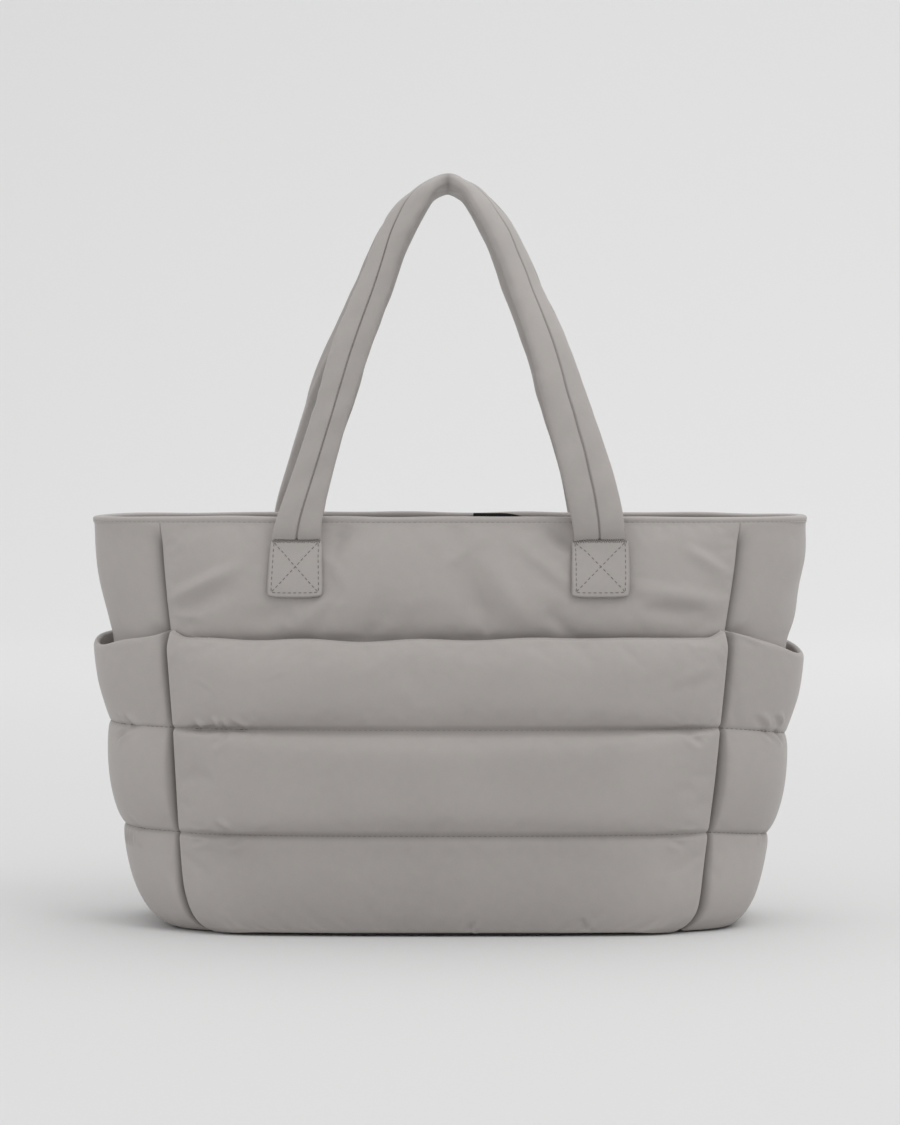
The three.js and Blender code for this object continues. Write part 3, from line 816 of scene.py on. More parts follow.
def add_node(tree, kind, inputs=None, **settings):
    """Add a node, set its options and feed its inputs with values or sockets."""
    node = tree.nodes.new(kind)
    for key, value in settings.items():
        setattr(node, key, value)
    for key, value in (inputs or {}).items():
        if isinstance(value, bpy.types.NodeSocket):
            tree.links.new(value, node.inputs[key])
        else:
            node.inputs[key].default_value = value
    return node


def math_node(tree, operation, first, second=0.0):
    return add_node(tree, "ShaderNodeMath", {0: first, 1: second}, operation=operation).outputs[0]


def noise_node(tree, place, scale, detail, **more):
    return add_node(tree, "ShaderNodeTexNoise", {"Vector": place, "Scale": scale, "Detail": detail, **more})


def vector_node(tree, operation, first, second):
    return add_node(tree, "ShaderNodeVectorMath", {0: first, 1: second}, operation=operation).outputs[0]


def new_material(name, colour=None):
    """A new material with its nodes and its shader."""
    material = bpy.data.materials.new(name)
    material.use_nodes = True
    if colour is not None:
        material.diffuse_color = colour
    return material, material.node_tree, material.node_tree.nodes["Principled BSDF"]


def new_group(name, inputs, outputs):
    """An empty node group with named sockets, its given values and its results."""
    tree = bpy.data.node_groups.new(name, "ShaderNodeTree")
    for label, kind, default in inputs:
        socket = tree.interface.new_socket(label, in_out="INPUT", socket_type=kind)
        if default is not None:
            socket.default_value = default
    for label, kind in outputs:
        tree.interface.new_socket(label, in_out="OUTPUT", socket_type=kind)
    return tree, tree.nodes.new("NodeGroupInput"), tree.nodes.new("NodeGroupOutput")


def woven_grain():
    """Fine over-and-under weave with a little uneven yarn, as a height."""
    if "woven grain" in bpy.data.node_groups:
        return bpy.data.node_groups["woven grain"]
    tree, given, result = new_group(
        "woven grain",
        [("Place", "NodeSocketVector", None), ("Threads", "NodeSocketFloat", 1400.0),
         ("Yarn", "NodeSocketFloat", 0.5)],
        [("Height", "NodeSocketFloat")])
    parts = add_node(tree, "ShaderNodeSeparateXYZ", {0: given.outputs["Place"]})
    turns = math_node(tree, "MULTIPLY", given.outputs["Threads"], 2 * math.pi)
    warp = math_node(tree, "SINE", math_node(tree, "MULTIPLY", parts.outputs["X"], turns))
    weft = math_node(tree, "SINE", math_node(tree, "MULTIPLY", parts.outputs["Y"], turns))
    weave = math_node(tree, "MULTIPLY", warp, weft)
    scale = math_node(tree, "MULTIPLY", given.outputs["Threads"], 0.6)
    yarn = noise_node(tree, given.outputs["Place"], scale, 3.0)
    uneven = math_node(tree, "MULTIPLY", yarn.outputs[0], given.outputs["Yarn"])
    total = math_node(tree, "ADD", math_node(tree, "MULTIPLY", weave, 0.35), uneven)
    tree.links.new(total, result.inputs["Height"])
    return tree


def soft_mottling():
    """Cloudy change of tone and gloss over the cloth, with painted shade where the sewn mark is above 0 and
    painted highlight where it is below 0.
    """
    if "soft mottling" in bpy.data.node_groups:
        return bpy.data.node_groups["soft mottling"]
    tree, given, result = new_group(
        "soft mottling",
        [("Place", "NodeSocketVector", None), ("Colour", "NodeSocketColor", None),
         ("Sewn", "NodeSocketFloat", 0.0), ("Gloss", "NodeSocketFloat", 0.5)],
        [("Colour", "NodeSocketColor"), ("Roughness", "NodeSocketFloat")])
    broad = noise_node(tree, given.outputs["Place"], 14.0, 3.0)
    small = noise_node(tree, given.outputs["Place"], 160.0, 2.0)
    cloud = math_node(tree, "ADD", math_node(tree, "MULTIPLY", broad.outputs[0], 0.7),
                      math_node(tree, "MULTIPLY", small.outputs[0], 0.3))
    tone = add_node(tree, "ShaderNodeMapRange", {
        "Value": cloud, "From Min": 0.3, "From Max": 0.7, "To Min": 0.955, "To Max": 1.045})
    # Painted shade: the sewn mark darkens the colour, and lightens it as painted highlight where it is below 0
    shade = math_node(tree, "SUBTRACT", 1.0, math_node(tree, "MULTIPLY", given.outputs["Sewn"], 0.62))
    light = math_node(tree, "MULTIPLY", tone.outputs[0], shade)
    colour = vector_node(tree, "MULTIPLY", given.outputs["Colour"], light)
    gloss = add_node(tree, "ShaderNodeMapRange", {
        "Value": cloud, "From Min": 0.3, "From Max": 0.7, "To Min": -0.05, "To Max": 0.05})
    rough = math_node(tree, "ADD", given.outputs["Gloss"], gloss.outputs[0])
    tree.links.new(colour, result.inputs["Colour"])
    tree.links.new(rough, result.inputs["Roughness"])
    return tree


def fine_creases():
    """Short soft wrinkles of thin cloth over padding, as a height."""
    if "fine creases" in bpy.data.node_groups:
        return bpy.data.node_groups["fine creases"]
    tree, given, result = new_group(
        "fine creases",
        [("Place", "NodeSocketVector", None), ("Size", "NodeSocketFloat", 40.0)],
        [("Height", "NodeSocketFloat")])
    bend = noise_node(tree, given.outputs["Place"], 24.0, 1.0)
    shifted = vector_node(tree, "MULTIPLY", bend.outputs[1], (0.03, 0.03, 0.03))
    place = vector_node(tree, "ADD", given.outputs["Place"], shifted)
    noise = noise_node(tree, place, given.outputs["Size"], 2.0, Roughness=0.45)
    ridge = math_node(tree, "ABSOLUTE", math_node(tree, "SUBTRACT", noise.outputs[0], 0.5))
    tree.links.new(math_node(tree, "POWER", ridge, 0.7), result.inputs["Height"])
    return tree


def cloth_finish(name, colour, gloss, sheen, threads, crease):
    """A smooth woven cloth with grain, soft creases and a faint sheen."""
    if name in bpy.data.materials:
        return bpy.data.materials[name]
    material, tree, shader = new_material(name, colour)
    place = add_node(tree, "ShaderNodeTexCoord")
    surface = add_node(tree, "ShaderNodeUVMap", uv_map="cloth")
    # The sewn mark carries painted shade along seams, creases and edges, and painted highlight where it is
    # below 0
    sewn = add_node(tree, "ShaderNodeAttribute", attribute_name="sewn")
    mottling = add_node(tree, "ShaderNodeGroup", node_tree=soft_mottling())
    tree.links.new(place.outputs["Object"], mottling.inputs["Place"])
    tree.links.new(sewn.outputs["Fac"], mottling.inputs["Sewn"])
    mottling.inputs["Colour"].default_value = colour
    mottling.inputs["Gloss"].default_value = gloss
    grain = add_node(tree, "ShaderNodeGroup", node_tree=woven_grain())
    tree.links.new(surface.outputs[0], grain.inputs["Place"])
    grain.inputs["Threads"].default_value = threads
    creases = add_node(tree, "ShaderNodeGroup", node_tree=fine_creases())
    tree.links.new(place.outputs["Object"], creases.inputs["Place"])
    folds = add_node(tree, "ShaderNodeBump", {
        "Height": creases.outputs["Height"], "Strength": crease, "Distance": 0.002})
    weave = add_node(tree, "ShaderNodeBump", {
        "Height": grain.outputs["Height"], "Strength": 0.25, "Distance": 0.0002, "Normal": folds.outputs[0]})
    tree.links.new(mottling.outputs["Colour"], shader.inputs["Base Color"])
    tree.links.new(mottling.outputs["Roughness"], shader.inputs["Roughness"])
    tree.links.new(weave.outputs[0], shader.inputs["Normal"])
    shader.inputs["Sheen Weight"].default_value = sheen
    shader.inputs["Sheen Roughness"].default_value = 0.45
    shader.inputs["Specular IOR Level"].default_value = 0.35
    return material


def outer_cloth():
    finish = bpy.context.scene.bag_finish
    return cloth_finish("outer cloth", finish.cloth, 0.56, 0.15, 1500.0, 0.12)


def strap_cloth():
    finish = bpy.context.scene.bag_finish
    return cloth_finish("strap cloth", finish.strap, 0.54, 0.15, 1500.0, 0.16)


def lining_cloth():
    finish = bpy.context.scene.bag_finish
    return cloth_finish("lining cloth", finish.lining, 0.62, 0.1, 1800.0, 0.25)


# Near-black cloth of the welt: painted shadow under the foot
def painted_foot_shadow():
    finish = bpy.context.scene.bag_finish
    return cloth_finish("foot binding", finish.painted_shadow, 0.7, 0.0, 1500.0, 0.1)


def black_webbing():
    finish = bpy.context.scene.bag_finish
    return cloth_finish("black webbing", finish.webbing, 0.7, 0.1, 700.0, 0.05)


def sewing_thread(name, colour):
    """Twisted thread of one colour."""
    if name in bpy.data.materials:
        return bpy.data.materials[name]
    material, tree, shader = new_material(name, colour)
    place = add_node(tree, "ShaderNodeTexCoord")
    mottling = add_node(tree, "ShaderNodeGroup", node_tree=soft_mottling())
    tree.links.new(place.outputs["Object"], mottling.inputs["Place"])
    mottling.inputs["Colour"].default_value = colour
    mottling.inputs["Gloss"].default_value = 0.5
    twist = add_node(tree, "ShaderNodeTexWave", {
        "Vector": place.outputs["Object"], "Scale": 900.0}, bands_direction="DIAGONAL")
    bump = add_node(tree, "ShaderNodeBump", {
        "Height": twist.outputs["Fac"], "Strength": 0.4, "Distance": 0.0001})
    tree.links.new(mottling.outputs["Colour"], shader.inputs["Base Color"])
    tree.links.new(mottling.outputs["Roughness"], shader.inputs["Roughness"])
    tree.links.new(bump.outputs[0], shader.inputs["Normal"])
    return material


# The thread's own colour, darkened as painted shade of the stitch holes
def dark_thread():
    return sewing_thread("dark thread", bpy.context.scene.bag_finish.thread)


def pale_thread():
    return sewing_thread("pale thread", bpy.context.scene.bag_finish.pale_thread)


def line_inside(piece, material):
    """Give the faces of a padded wall's inner side the lining."""
    piece.data.materials.append(material)
    mesh = piece.data
    inside = np.empty(len(mesh.vertices), dtype=np.float32)
    mesh.attributes["inside"].data.foreach_get("value", inside)
    slots = [1 if min(inside[v] for v in polygon.vertices) > 0.75 else 0 for polygon in mesh.polygons]
    mesh.polygons.foreach_set("material_index", slots)
    mesh.update()


# Pieces

class BAG_OT_pockets(bpy.types.Operator):
    """Build the quilted pockets of the front and the two sides"""

    bl_idname = "bag.pockets"
    bl_label = "Quilted pockets"

    def execute(self, context):
        self.front_pocket(context)
        for facing in (-1, 1):
            self.side_pocket(context, facing)
        return {"FINISHED"}

    def front_pocket(self, context):
        sizes = context.scene.bag_sizes
        cloth = context.scene.bag_cloth
        heights = channel_heights(24)
        half_span = HALF_SPANS["front_pocket"]
        column, z = np.meshgrid(seamed_columns(115, half_span), heights)
        seam_x = level_at(z)[2]
        x = column * seam_x
        gape = pocket_gape("front", column, z)
        thickness = quilt_thickness(z, column, seam_x, "front", sizes.seam_padding / MM)
        lip = lip_rounding("front", z)
        upper = smoothstep((z - CHANNELS[0][1]) / (MOUTH_HEIGHT - CHANNELS[0][1]))
        inward = from_seam(column, seam_x)
        height = z + upper * 0.8 * ripples(x, 0 * z, 62, SEEDS["mouth"]) * (1 - column ** 4)
        height = height + CORNER_RISE * upper * np.clip(1 - inward / 12, 0, 1) ** 2
        height = height + FOOT_LIFT * smoothstep((8 - z) / 7) * smoothstep(inward / 40)
        seam = pocket_seam(column, height)
        spread = 1 + CORNER_OVERHANG / seam * smoothstep(1 - inward / 8)
        outer = face_points(-1, column * spread, height, gape + thickness - lip, seam)
        inner = face_points(-1, column, height, gape + np.minimum(lip, thickness - lip), seam)
        upper_line, lower_line = SEWN_LINES
        # Painted shade: darker over the middle and lowest channels, most just below the lower sewn line and
        # along it, fading towards the corner seams
        painted_shade = 0.035 * smoothstep((upper_line - z) / 10) + 0.095 * smoothstep((lower_line - z) / 10)
        painted_shade = painted_shade + 0.09 * bell(lower_line - 8 - z, 9)
        painted_shade = painted_shade + 0.15 * bell(z - lower_line, 1.0)
        painted_shade = painted_shade * (1 - smoothstep((np.abs(column + 0.1) - 0.6) / 0.35))
        held = self.held_points(heights, column, half_span)
        loose = smoothstep((np.abs(x) - 100) / 60)
        outer = swell_cloth(
            outer, held, loose, False, cloth.push, (cloth.slack, cloth.end_slack), cloth.reach / MM)
        # Painted shade along the sewn lines and painted highlight on the rounded edge by the corner seams,
        # added to the painted shade above
        marks = self.painted_shade_and_highlight(heights, painted_edge_highlight(column, half_span)) + painted_shade
        piece = padded_wall("front_pocket_quilt", outer, inner, False, marks, rows_at(heights, SEWN_LINES))
        refine(piece)
        press_pleats(piece, FRONT_PLEATS, 0)
        seat(piece, "front_pocket", outer_cloth())

    def side_pocket(self, context, facing):
        sizes = context.scene.bag_sizes
        cloth = context.scene.bag_cloth
        heights = channel_heights(24)
        half_span = HALF_SPANS["side_pocket"]
        column, z = np.meshgrid(seamed_columns(45, half_span), heights)
        half_depth = level_at(z)[1]
        gape = pocket_gape("side", column, z)
        thickness = quilt_thickness(z, column, half_depth, "side", sizes.seam_padding / MM)
        lip = lip_rounding("side", z)
        inward = from_seam(column, half_depth)
        trough = CORNER_TROUGH * smoothstep((MOUTH_HEIGHT - 4 - z) / 10)
        gape = gape - trough * (1 - smoothstep((inward - CORNER_COVER) / 2))
        height = side_height(facing, column, z)
        seam = pocket_seam(facing, height)
        outer = side_points(facing, column, height, gape + thickness - lip, seam)
        inner = side_points(facing, column, height, gape + np.minimum(lip, thickness - lip), seam)
        held = self.held_points(heights, column, half_span)
        outer = swell_cloth(
            outer, held, np.abs(column), facing < 0, cloth.push, (cloth.slack, cloth.end_slack), 1.6)
        name = f"side_pocket_{SIDE_NAMES[facing]}"
        # Painted shade beside the front corner seam, and painted shade along the sewn lines
        marks = self.painted_shade_and_highlight(heights, 0.8 * bell(inward - CORNER_COVER - 0.7, 0.7))
        piece = padded_wall(f"{name}_quilt", outer, inner, facing < 0, marks, rows_at(heights, SEWN_LINES))
        refine(piece)
        press_pleats(piece, SIDE_PLEATS[facing] + mirrored(SIDE_PLEATS[facing]), 1)
        seat(piece, name, outer_cloth())

    @staticmethod
    def held_points(heights, column, half_span):
        """Points that the sewing holds: the channel lines, the corner seams, the lip and the foot."""
        held = from_seam(column, half_span) < SEAM_HOLD
        held[rows_at(heights, SEWN_LINES)] = True
        held[heights > MOUTH_HEIGHT - EDGE_HOLD] = True
        held[heights < FOOT + EDGE_HOLD] = True
        return held

    @staticmethod
    def painted_shade_and_highlight(heights, corner):
        """Painted shade along the sewn lines, from 0 to 1, and the given corner marks where these are
        stronger: painted shade by a corner seam, painted highlight below 0 on a rounded edge.
        """
        line = 0.25 * bell(nearest(heights, SEWN_LINES), 1.4)[:, None]
        return np.where(line > np.abs(corner), line, corner)


class BAG_OT_body(bpy.types.Operator):
    """Build the padded front, back and side panels"""

    bl_idname = "bag.body"
    bl_label = "Body panels"

    def execute(self, context):
        self.front_panel(context)
        self.back_panel(context)
        for facing in (-1, 1):
            self.gusset(context, facing)
        return {"FINISHED"}

    @staticmethod
    def upper_heights():
        """Heights of the rows above the pockets' mouths, from under the rim down."""
        edge = PANEL_TOP - np.array([0.0, 0.5, 1.2, 2.2, 3.6])
        return np.concatenate([edge, np.linspace(PANEL_TOP - 5.5, MOUTH_HEIGHT - 6, 31)])

    @classmethod
    def panel_heights(cls):
        """The same, with a few rows behind the pockets."""
        return np.concatenate([cls.upper_heights(), np.linspace(176, FOOT + 2.4, 14)])

    @staticmethod
    def tuck(z):
        """The panels thin out where they go under the rim's fold."""
        return 1 - quarter_round(PANEL_TOP - z, 2.4)

    @staticmethod
    def below_rim(z):
        """From 0 under the rim to 1 a little below it."""
        return smoothstep((RIM_HEIGHT - 6 - z) / 16)

    def front_panel(self, context):
        wall = context.scene.bag_sizes.wall / MM
        half_span = HALF_SPANS["front_panel"]
        column, z = np.meshgrid(seamed_columns(115, half_span), self.panel_heights())
        inward = from_seam(column, half_span)
        offset = front_offset(column, z)
        corner = 2.6 * (1 - quarter_round(inward, 1.8)) * self.below_rim(z)
        seam = panel_seam(column, z)
        narrowed = 1 - 0.03 * smoothstep((MOUTH_HEIGHT + 2 - z) / 5)
        outer = face_points(-1, column * narrowed, z, offset - self.tuck(z) - corner, seam)
        inner = face_points(-1, column, z, -wall + self.tuck(z), seam)
        held = (inward < SEAM_HOLD) | (z > RIM_HEIGHT - 6) | (z < MOUTH_HEIGHT - 4)
        for side in (-1, 1):
            near = np.abs(outer[..., 0] - TABS[side][0]) < TABS[side][3] + 2
            held = held | (near & (z > TAB_BOTTOM - 2))
        loose = smoothstep((np.abs(outer[..., 0]) - 110) / 60)
        outer = swell_cloth(outer, held, loose, False, 3.0, (0.008, 0.02), 2.0)
        # Painted shade along the corner seams, fading out under the rim
        marks = painted_seam_shade(column, half_span, 0.9) * self.below_rim(z)
        piece = padded_wall("front_panel_cloth", outer, inner, False, marks)
        refine(piece)
        seat(piece, "front_panel", outer_cloth())
        line_inside(piece, lining_cloth())

    def back_panel(self, context):
        wall = context.scene.bag_sizes.wall / MM
        seam = context.scene.bag_sizes.seam_padding / MM
        upper = self.upper_heights()
        heights = np.concatenate([upper[upper > MOUTH_HEIGHT + 1], channel_heights(20)])
        half_span = HALF_SPANS["back_panel"]
        column, z = np.meshgrid(seamed_columns(95, half_span), heights)
        inward = from_seam(column, half_span)
        seam_x = level_at(z)[2]
        quilt = quilt_thickness(z, column, seam_x, "back", seam) - 2.2
        quilt = quilt - 3.0 * bell(z - MOUTH_HEIGHT, 2.5)
        uneven = 0.8 * ripples(column * seam_x, z, 70, SEEDS["back"]) * (1 - column ** 6)
        plain = upper_swell(z, column, UPPER_SWELL) + uneven
        plain = plain * smoothstep((z - MOUTH_HEIGHT) / 14)
        offset = np.where(z > MOUTH_HEIGHT, plain, quilt)
        corner = np.where(z > MOUTH_HEIGHT, 1.6 * (1 - quarter_round(inward, 2.4)), 0)
        outer = face_points(1, column, z, offset - self.tuck(z) - corner)
        inner = face_points(1, column, z, -wall + self.tuck(z))
        lines = rows_at(heights, (MOUTH_HEIGHT, *SEWN_LINES))
        held = (inward < SEAM_HOLD) | (z > MOUTH_HEIGHT) | (z < FOOT + EDGE_HOLD)
        held[lines] = True
        cloth = context.scene.bag_cloth
        loose = smoothstep((np.abs(column * seam_x) - 100) / 60)
        outer = swell_cloth(
            outer, held, loose, True, cloth.push, (cloth.slack, cloth.end_slack), cloth.reach / MM)
        # Painted shade along the sewn lines and the mouth's line
        sewn = np.broadcast_to(bell(nearest(heights, heights[lines]), 2.5)[:, None], z.shape)
        piece = padded_wall("back_panel_quilt", outer, inner, True, sewn, lines)
        refine(piece)
        press_pleats(piece, FRONT_PLEATS, 0)
        seat(piece, "back_panel", outer_cloth())
        line_inside(piece, lining_cloth())

    def gusset(self, context, facing):
        wall = context.scene.bag_sizes.wall / MM
        half_span = HALF_SPANS["gusset"]
        column, z = np.meshgrid(seamed_columns(41, half_span), self.panel_heights())
        half_depth = level_at(z)[1]
        offset = upper_swell(z, column, GUSSET_SWELL)
        uneven = ripples(column * half_depth, z, 46, SEEDS["gusset"] + facing)
        offset = offset + 0.9 * uneven * (1 - column ** 4)
        offset = offset * smoothstep((RIM_HEIGHT - z) / 18)
        if facing < 0:
            offset = offset - 2.4 * bell(z - 208, 22) * (1 - column ** 2)
        inward = from_seam(column, half_span)
        corner = 3.4 * (1 - smoothstep(inward / 5)) * self.below_rim(z)
        covered = smoothstep((MOUTH_HEIGHT + 10 - z) / 8)
        corner = corner + (4.2 * (1 - smoothstep(inward / 9)) - corner) * covered
        seam = panel_seam(facing, z)
        outer = side_points(facing, column, z, offset - self.tuck(z) - corner, seam)
        inner = side_points(facing, column, z, -wall + self.tuck(z), seam)
        name = f"gusset_{SIDE_NAMES[facing]}"
        # Painted shade along the corner seams, fading out under the rim
        marks = painted_seam_shade(column, half_span, 1.4) * self.below_rim(z)
        piece = padded_wall(f"{name}_cloth", outer, inner, facing < 0, marks)
        refine(piece)
        seat(piece, name, outer_cloth())
        line_inside(piece, lining_cloth())


class BAG_OT_base(bpy.types.Operator):
    """Build the padded base and the welt sewn round its edge"""

    bl_idname = "bag.base"
    bl_label = "Base"

    def execute(self, context):
        wall = context.scene.bag_sizes.wall / MM
        outline = self.outline(-wall - 0.2)
        bpy.ops.object.select_all(action="DESELECT")
        bpy.ops.mesh.primitive_circle_add(vertices=len(outline), radius=0.1, fill_type="NGON")
        piece = context.active_object
        piece.name = "base_panel"
        for vertex, point in zip(piece.data.vertices, outline):
            vertex.co = (point[0] * MM, point[1] * MM, 0.0)
        bpy.ops.object.mode_set(mode="EDIT")
        bpy.ops.mesh.select_all(action="SELECT")
        bpy.ops.mesh.extrude_region_move(TRANSFORM_OT_translate={"value": (0, 0, 0.005)})
        bpy.ops.object.mode_set(mode="OBJECT")
        face_outward(piece)
        bevel = piece.modifiers.new("edge", "BEVEL")
        bevel.width = 0.0015
        bevel.segments = 3
        bevel.limit_method = "ANGLE"
        apply_modifiers(piece)
        bpy.ops.object.shade_smooth_by_angle(angle=math.radians(40))
        flat_map(piece, 0, 1)
        seat(piece, "base", lining_cloth())
        self.welt()
        return {"FINISHED"}

    @staticmethod
    def outline(offset, z=FOOT, count=60):
        """Points round the foot of the panels, at an offset from their faces."""
        long = even_columns(count)[:-1]
        short = even_columns(count // 2)[:-1]
        return np.concatenate([
            face_points(-1, long, np.full(long.shape, z), offset),
            side_points(1, short, np.full(short.shape, z), offset),
            face_points(1, -long, np.full(long.shape, z), offset),
            side_points(-1, -short, np.full(short.shape, z), offset),
        ])

    def welt(self):
        """A thin folded welt where the pockets and the base are sewn together, near black as painted contact
        shadow under the foot.
        """
        centre = self.outline(2.0, z=1.4, count=140)
        facing = smoothstep((120 - np.abs(centre[:, 0])) / 60) * (centre[:, 1] < 0)
        centre[:, 1] -= 10.5 * facing
        centre[:, 2] += 0.9 * facing
        run = np.roll(centre, -1, axis=0) - np.roll(centre, 1, axis=0)
        run /= np.linalg.norm(run, axis=1, keepdims=True)
        out = np.stack([run[:, 1], -run[:, 0], np.zeros(len(run))], axis=1)
        angles = np.linspace(0, 2 * math.pi, 8, endpoint=False)
        wobble = 1 + 0.1 * ripples(np.arange(len(run)) * 3.0, np.zeros(len(run)), 40, SEEDS["welt"])
        rings = centre[:, None, :] + out[:, None, :] * (1.3 * wobble[:, None] * np.cos(angles))[..., None]
        rings[..., 2] += 0.9 * np.sin(angles)
        piece = loft("painted_shadow_welt", rings, True)
        refine(piece)
        seat(piece, None, painted_foot_shadow())


class BAG_OT_rim(bpy.types.Operator):
    """Build the folded edge round the bag's mouth"""

    bl_idname = "bag.rim"
    bl_label = "Rim"

    def execute(self, context):
        rings = self.rings(context)
        piece = loft("rim_fold", rings, True)
        refine(piece)
        seat(piece, "rim_band", outer_cloth())
        return {"FINISHED"}

    @staticmethod
    def stations(count):
        """Shares once round the mouth."""
        angle = np.linspace(0, 2 * math.pi, count, endpoint=False)
        across = np.sign(np.cos(angle)) * np.abs(np.cos(angle)) ** (2 / SECTION_POWER)
        deep = np.sign(np.sin(angle)) * np.abs(np.sin(angle)) ** (2 / SECTION_POWER)
        return across, deep

    @staticmethod
    def waver(x, y):
        """Slight rise and fall of the mouth's edge."""
        return 0.45 * ripples(x, y, 85, SEEDS["rim"]) - 0.4 * (x / 240) ** 4

    def rings(self, context):
        half_width, half_depth, _, _ = level_at(RIM_HEIGHT)
        wall = context.scene.bag_sizes.wall / MM
        outside = [(-0.5, 0.0), (0.15, 0.5), (-0.3, 1.5), (0.35, 2.6), (0.2, 3.9), (-0.6, 4.8), (-1.9, 5.15)]
        inside = [(-wall - offset, up) for offset, up in outside]
        profile = outside + [(-wall / 2, 5.2)] + inside[::-1]
        across, deep = self.stations(360)
        rings = np.empty((len(across), len(profile), 3))
        for i, (offset, up) in enumerate(profile):
            x = (half_width + offset) * across
            y = (half_depth + offset) * deep
            rise = self.waver(half_width * across, half_depth * deep) * up / BAND_HEIGHT
            rings[:, i] = np.stack([x, y, RIM_HEIGHT - BAND_HEIGHT + up + rise], axis=1)
        return rings


def mirrored(pleats):
    """The same pleats on the other half of a face."""
    return tuple((-place, height, -angle, *rest) for place, height, angle, *rest in pleats)


def hanging_x(facing, x, z):
    """Where one row of a handle hangs, left to right."""
    shift, foot_shift, widen = HANDLE_HANG[facing]
    return x * (1 + widen) + shift + foot_shift * (1 - smoothstep((z - 311.0) / 90.0))


class BAG_OT_handles(bpy.types.Operator):
    """Build the two padded handles, each folded round to a seam down its middle"""

    bl_idname = "bag.handles"
    bl_label = "Handles"

    def execute(self, context):
        for facing in (-1, 1):
            rings, marks = self.rings(facing, context.scene.bag_sizes.handle_width / MM)
            name = f"handle_{FACE_NAMES[facing]}"
            piece = loft(f"{name}_strap", rings, False, {"sewn": marks.ravel()})
            refine(piece)
            seat(piece, name, strap_cloth())
        return {"FINISHED"}

    @staticmethod
    def section(power):
        """Section of the strap: places across it, side of it and weight of the middle seam."""
        face = np.array([1.0, 0.985, 0.95, 0.88, 0.78, 0.64, 0.48, 0.34, 0.22, 0.13, 0.08, 0.05, 0.025])
        back = np.array([0.985, 0.95, 0.87, 0.74, 0.55, 0.3])
        across = np.concatenate([face, [0.0], -face[::-1], -back, [0.0], back[::-1]])
        side = np.concatenate([np.ones(len(face) * 2 + 1), -np.ones(len(back) * 2 + 1)])
        height = (1 - np.abs(across) ** power) ** (1 / power)
        seam = np.where(side > 0, bell(across, 0.036), 0)
        return across, side * height, seam

    def rings(self, facing, width):
        rising = [(-x, y, z, turn, thickness) for x, y, z, turn, thickness in HANDLE_LEG]
        rows = rising + list(HANDLE_LEG[:-1])[::-1]
        places = np.array([(hanging_x(facing, x, z), -facing * y, z) for x, y, z, _, _ in rows])
        chords = np.linalg.norm(np.diff(places, axis=0), axis=1) ** 0.5
        knots = np.concatenate([[0], np.cumsum(chords)])
        path = [(knot, *place, row[3], row[4]) for knot, place, row in zip(knots, places, rows)]
        dense = np.linspace(0, knots[-1], 4000)
        track = np.stack([smooth_column(path, k, dense) for k in (1, 2, 3)], axis=1)
        run_length = arc_lengths(track[:, None, :], 0)[:, 0]
        stations = np.interp(np.linspace(0, run_length[-1], 181), run_length, dense)
        centre = np.stack([smooth_column(path, k, stations) for k in (1, 2, 3)], axis=1)
        turn = np.radians(smooth_column(path, 4, stations))
        thickness = smooth_column(path, 5, stations)
        if facing < 0:
            is_left = np.arange(len(stations)) < len(stations) / 2
            gathers = [smooth_column(GATHERS, k, centre[:, 2]) for k in range(1, 7)]
            shift, turn, share = (np.where(is_left, gathers[k], gathers[k + 3]) for k in range(3))
            turn = np.radians(turn)
            centre[:, 0] += shift
        else:
            middle = smoothstep((centre[:, 2] - 268) / 40) * (1 - smoothstep((centre[:, 2] - 325) / 60))
            turn = turn * (1 - 0.75 * middle)
            share = 1 - 0.14 * middle
        run = np.gradient(centre, axis=0)
        run /= np.linalg.norm(run, axis=1, keepdims=True)
        forward = np.array([0, facing, 0]) - run * (run[:, 1] * facing)[:, None]
        forward /= np.linalg.norm(forward, axis=1, keepdims=True)
        outward = np.cross(run, forward) * facing
        broad = forward * np.cos(turn)[:, None] + outward * np.sin(turn)[:, None]
        sideways = np.cross(broad, run)
        across, height, seam = self.section(HANDLE_POWER[facing])
        distance = np.linspace(0, run_length[-1], len(stations))[:, None]
        end = np.minimum(distance, run_length[-1] - distance)
        uneven = ripples(distance, across[None, :] * 18, 26, SEEDS["handle"] + facing)
        uneven = 0.45 * uneven * smoothstep(end / 40)
        pinch = bell(distance - run_length[-1] / 2, 3.0)
        lift = thickness[:, None] / 2 * height[None, :] * (1 - 0.08 * pinch)
        lift = lift + np.sign(height)[None, :] * uneven * np.abs(height)[None, :]
        lift = lift - 1.5 * seam[None, :] * smoothstep(end / 6)
        foot = 1 - 0.07 * (1 - smoothstep(end / 55))
        bumps = ripples(distance, across[None, :] * 40, 13, SEEDS["handle_edge"] + facing)
        bumps = 0.35 * bumps * smoothstep((end - 60) / 60)
        breadth = width / 2 * foot * share[:, None] + bumps * np.abs(across[None, :]) ** 4
        rings = centre[:, None, :] + sideways[:, None, :] * (breadth * across[None, :])[..., None]
        rings = rings + broad[:, None, :] * lift[..., None]
        # Painted highlight: the back handle's inner side is paler. Painted shade along the middle seam and
        # across the fold at the top
        pale = 0.22 * (height < 0) if facing > 0 else 0 * height
        return rings, np.maximum(0.4 * seam[None, :], 0.6 * pinch) - pale[None, :]


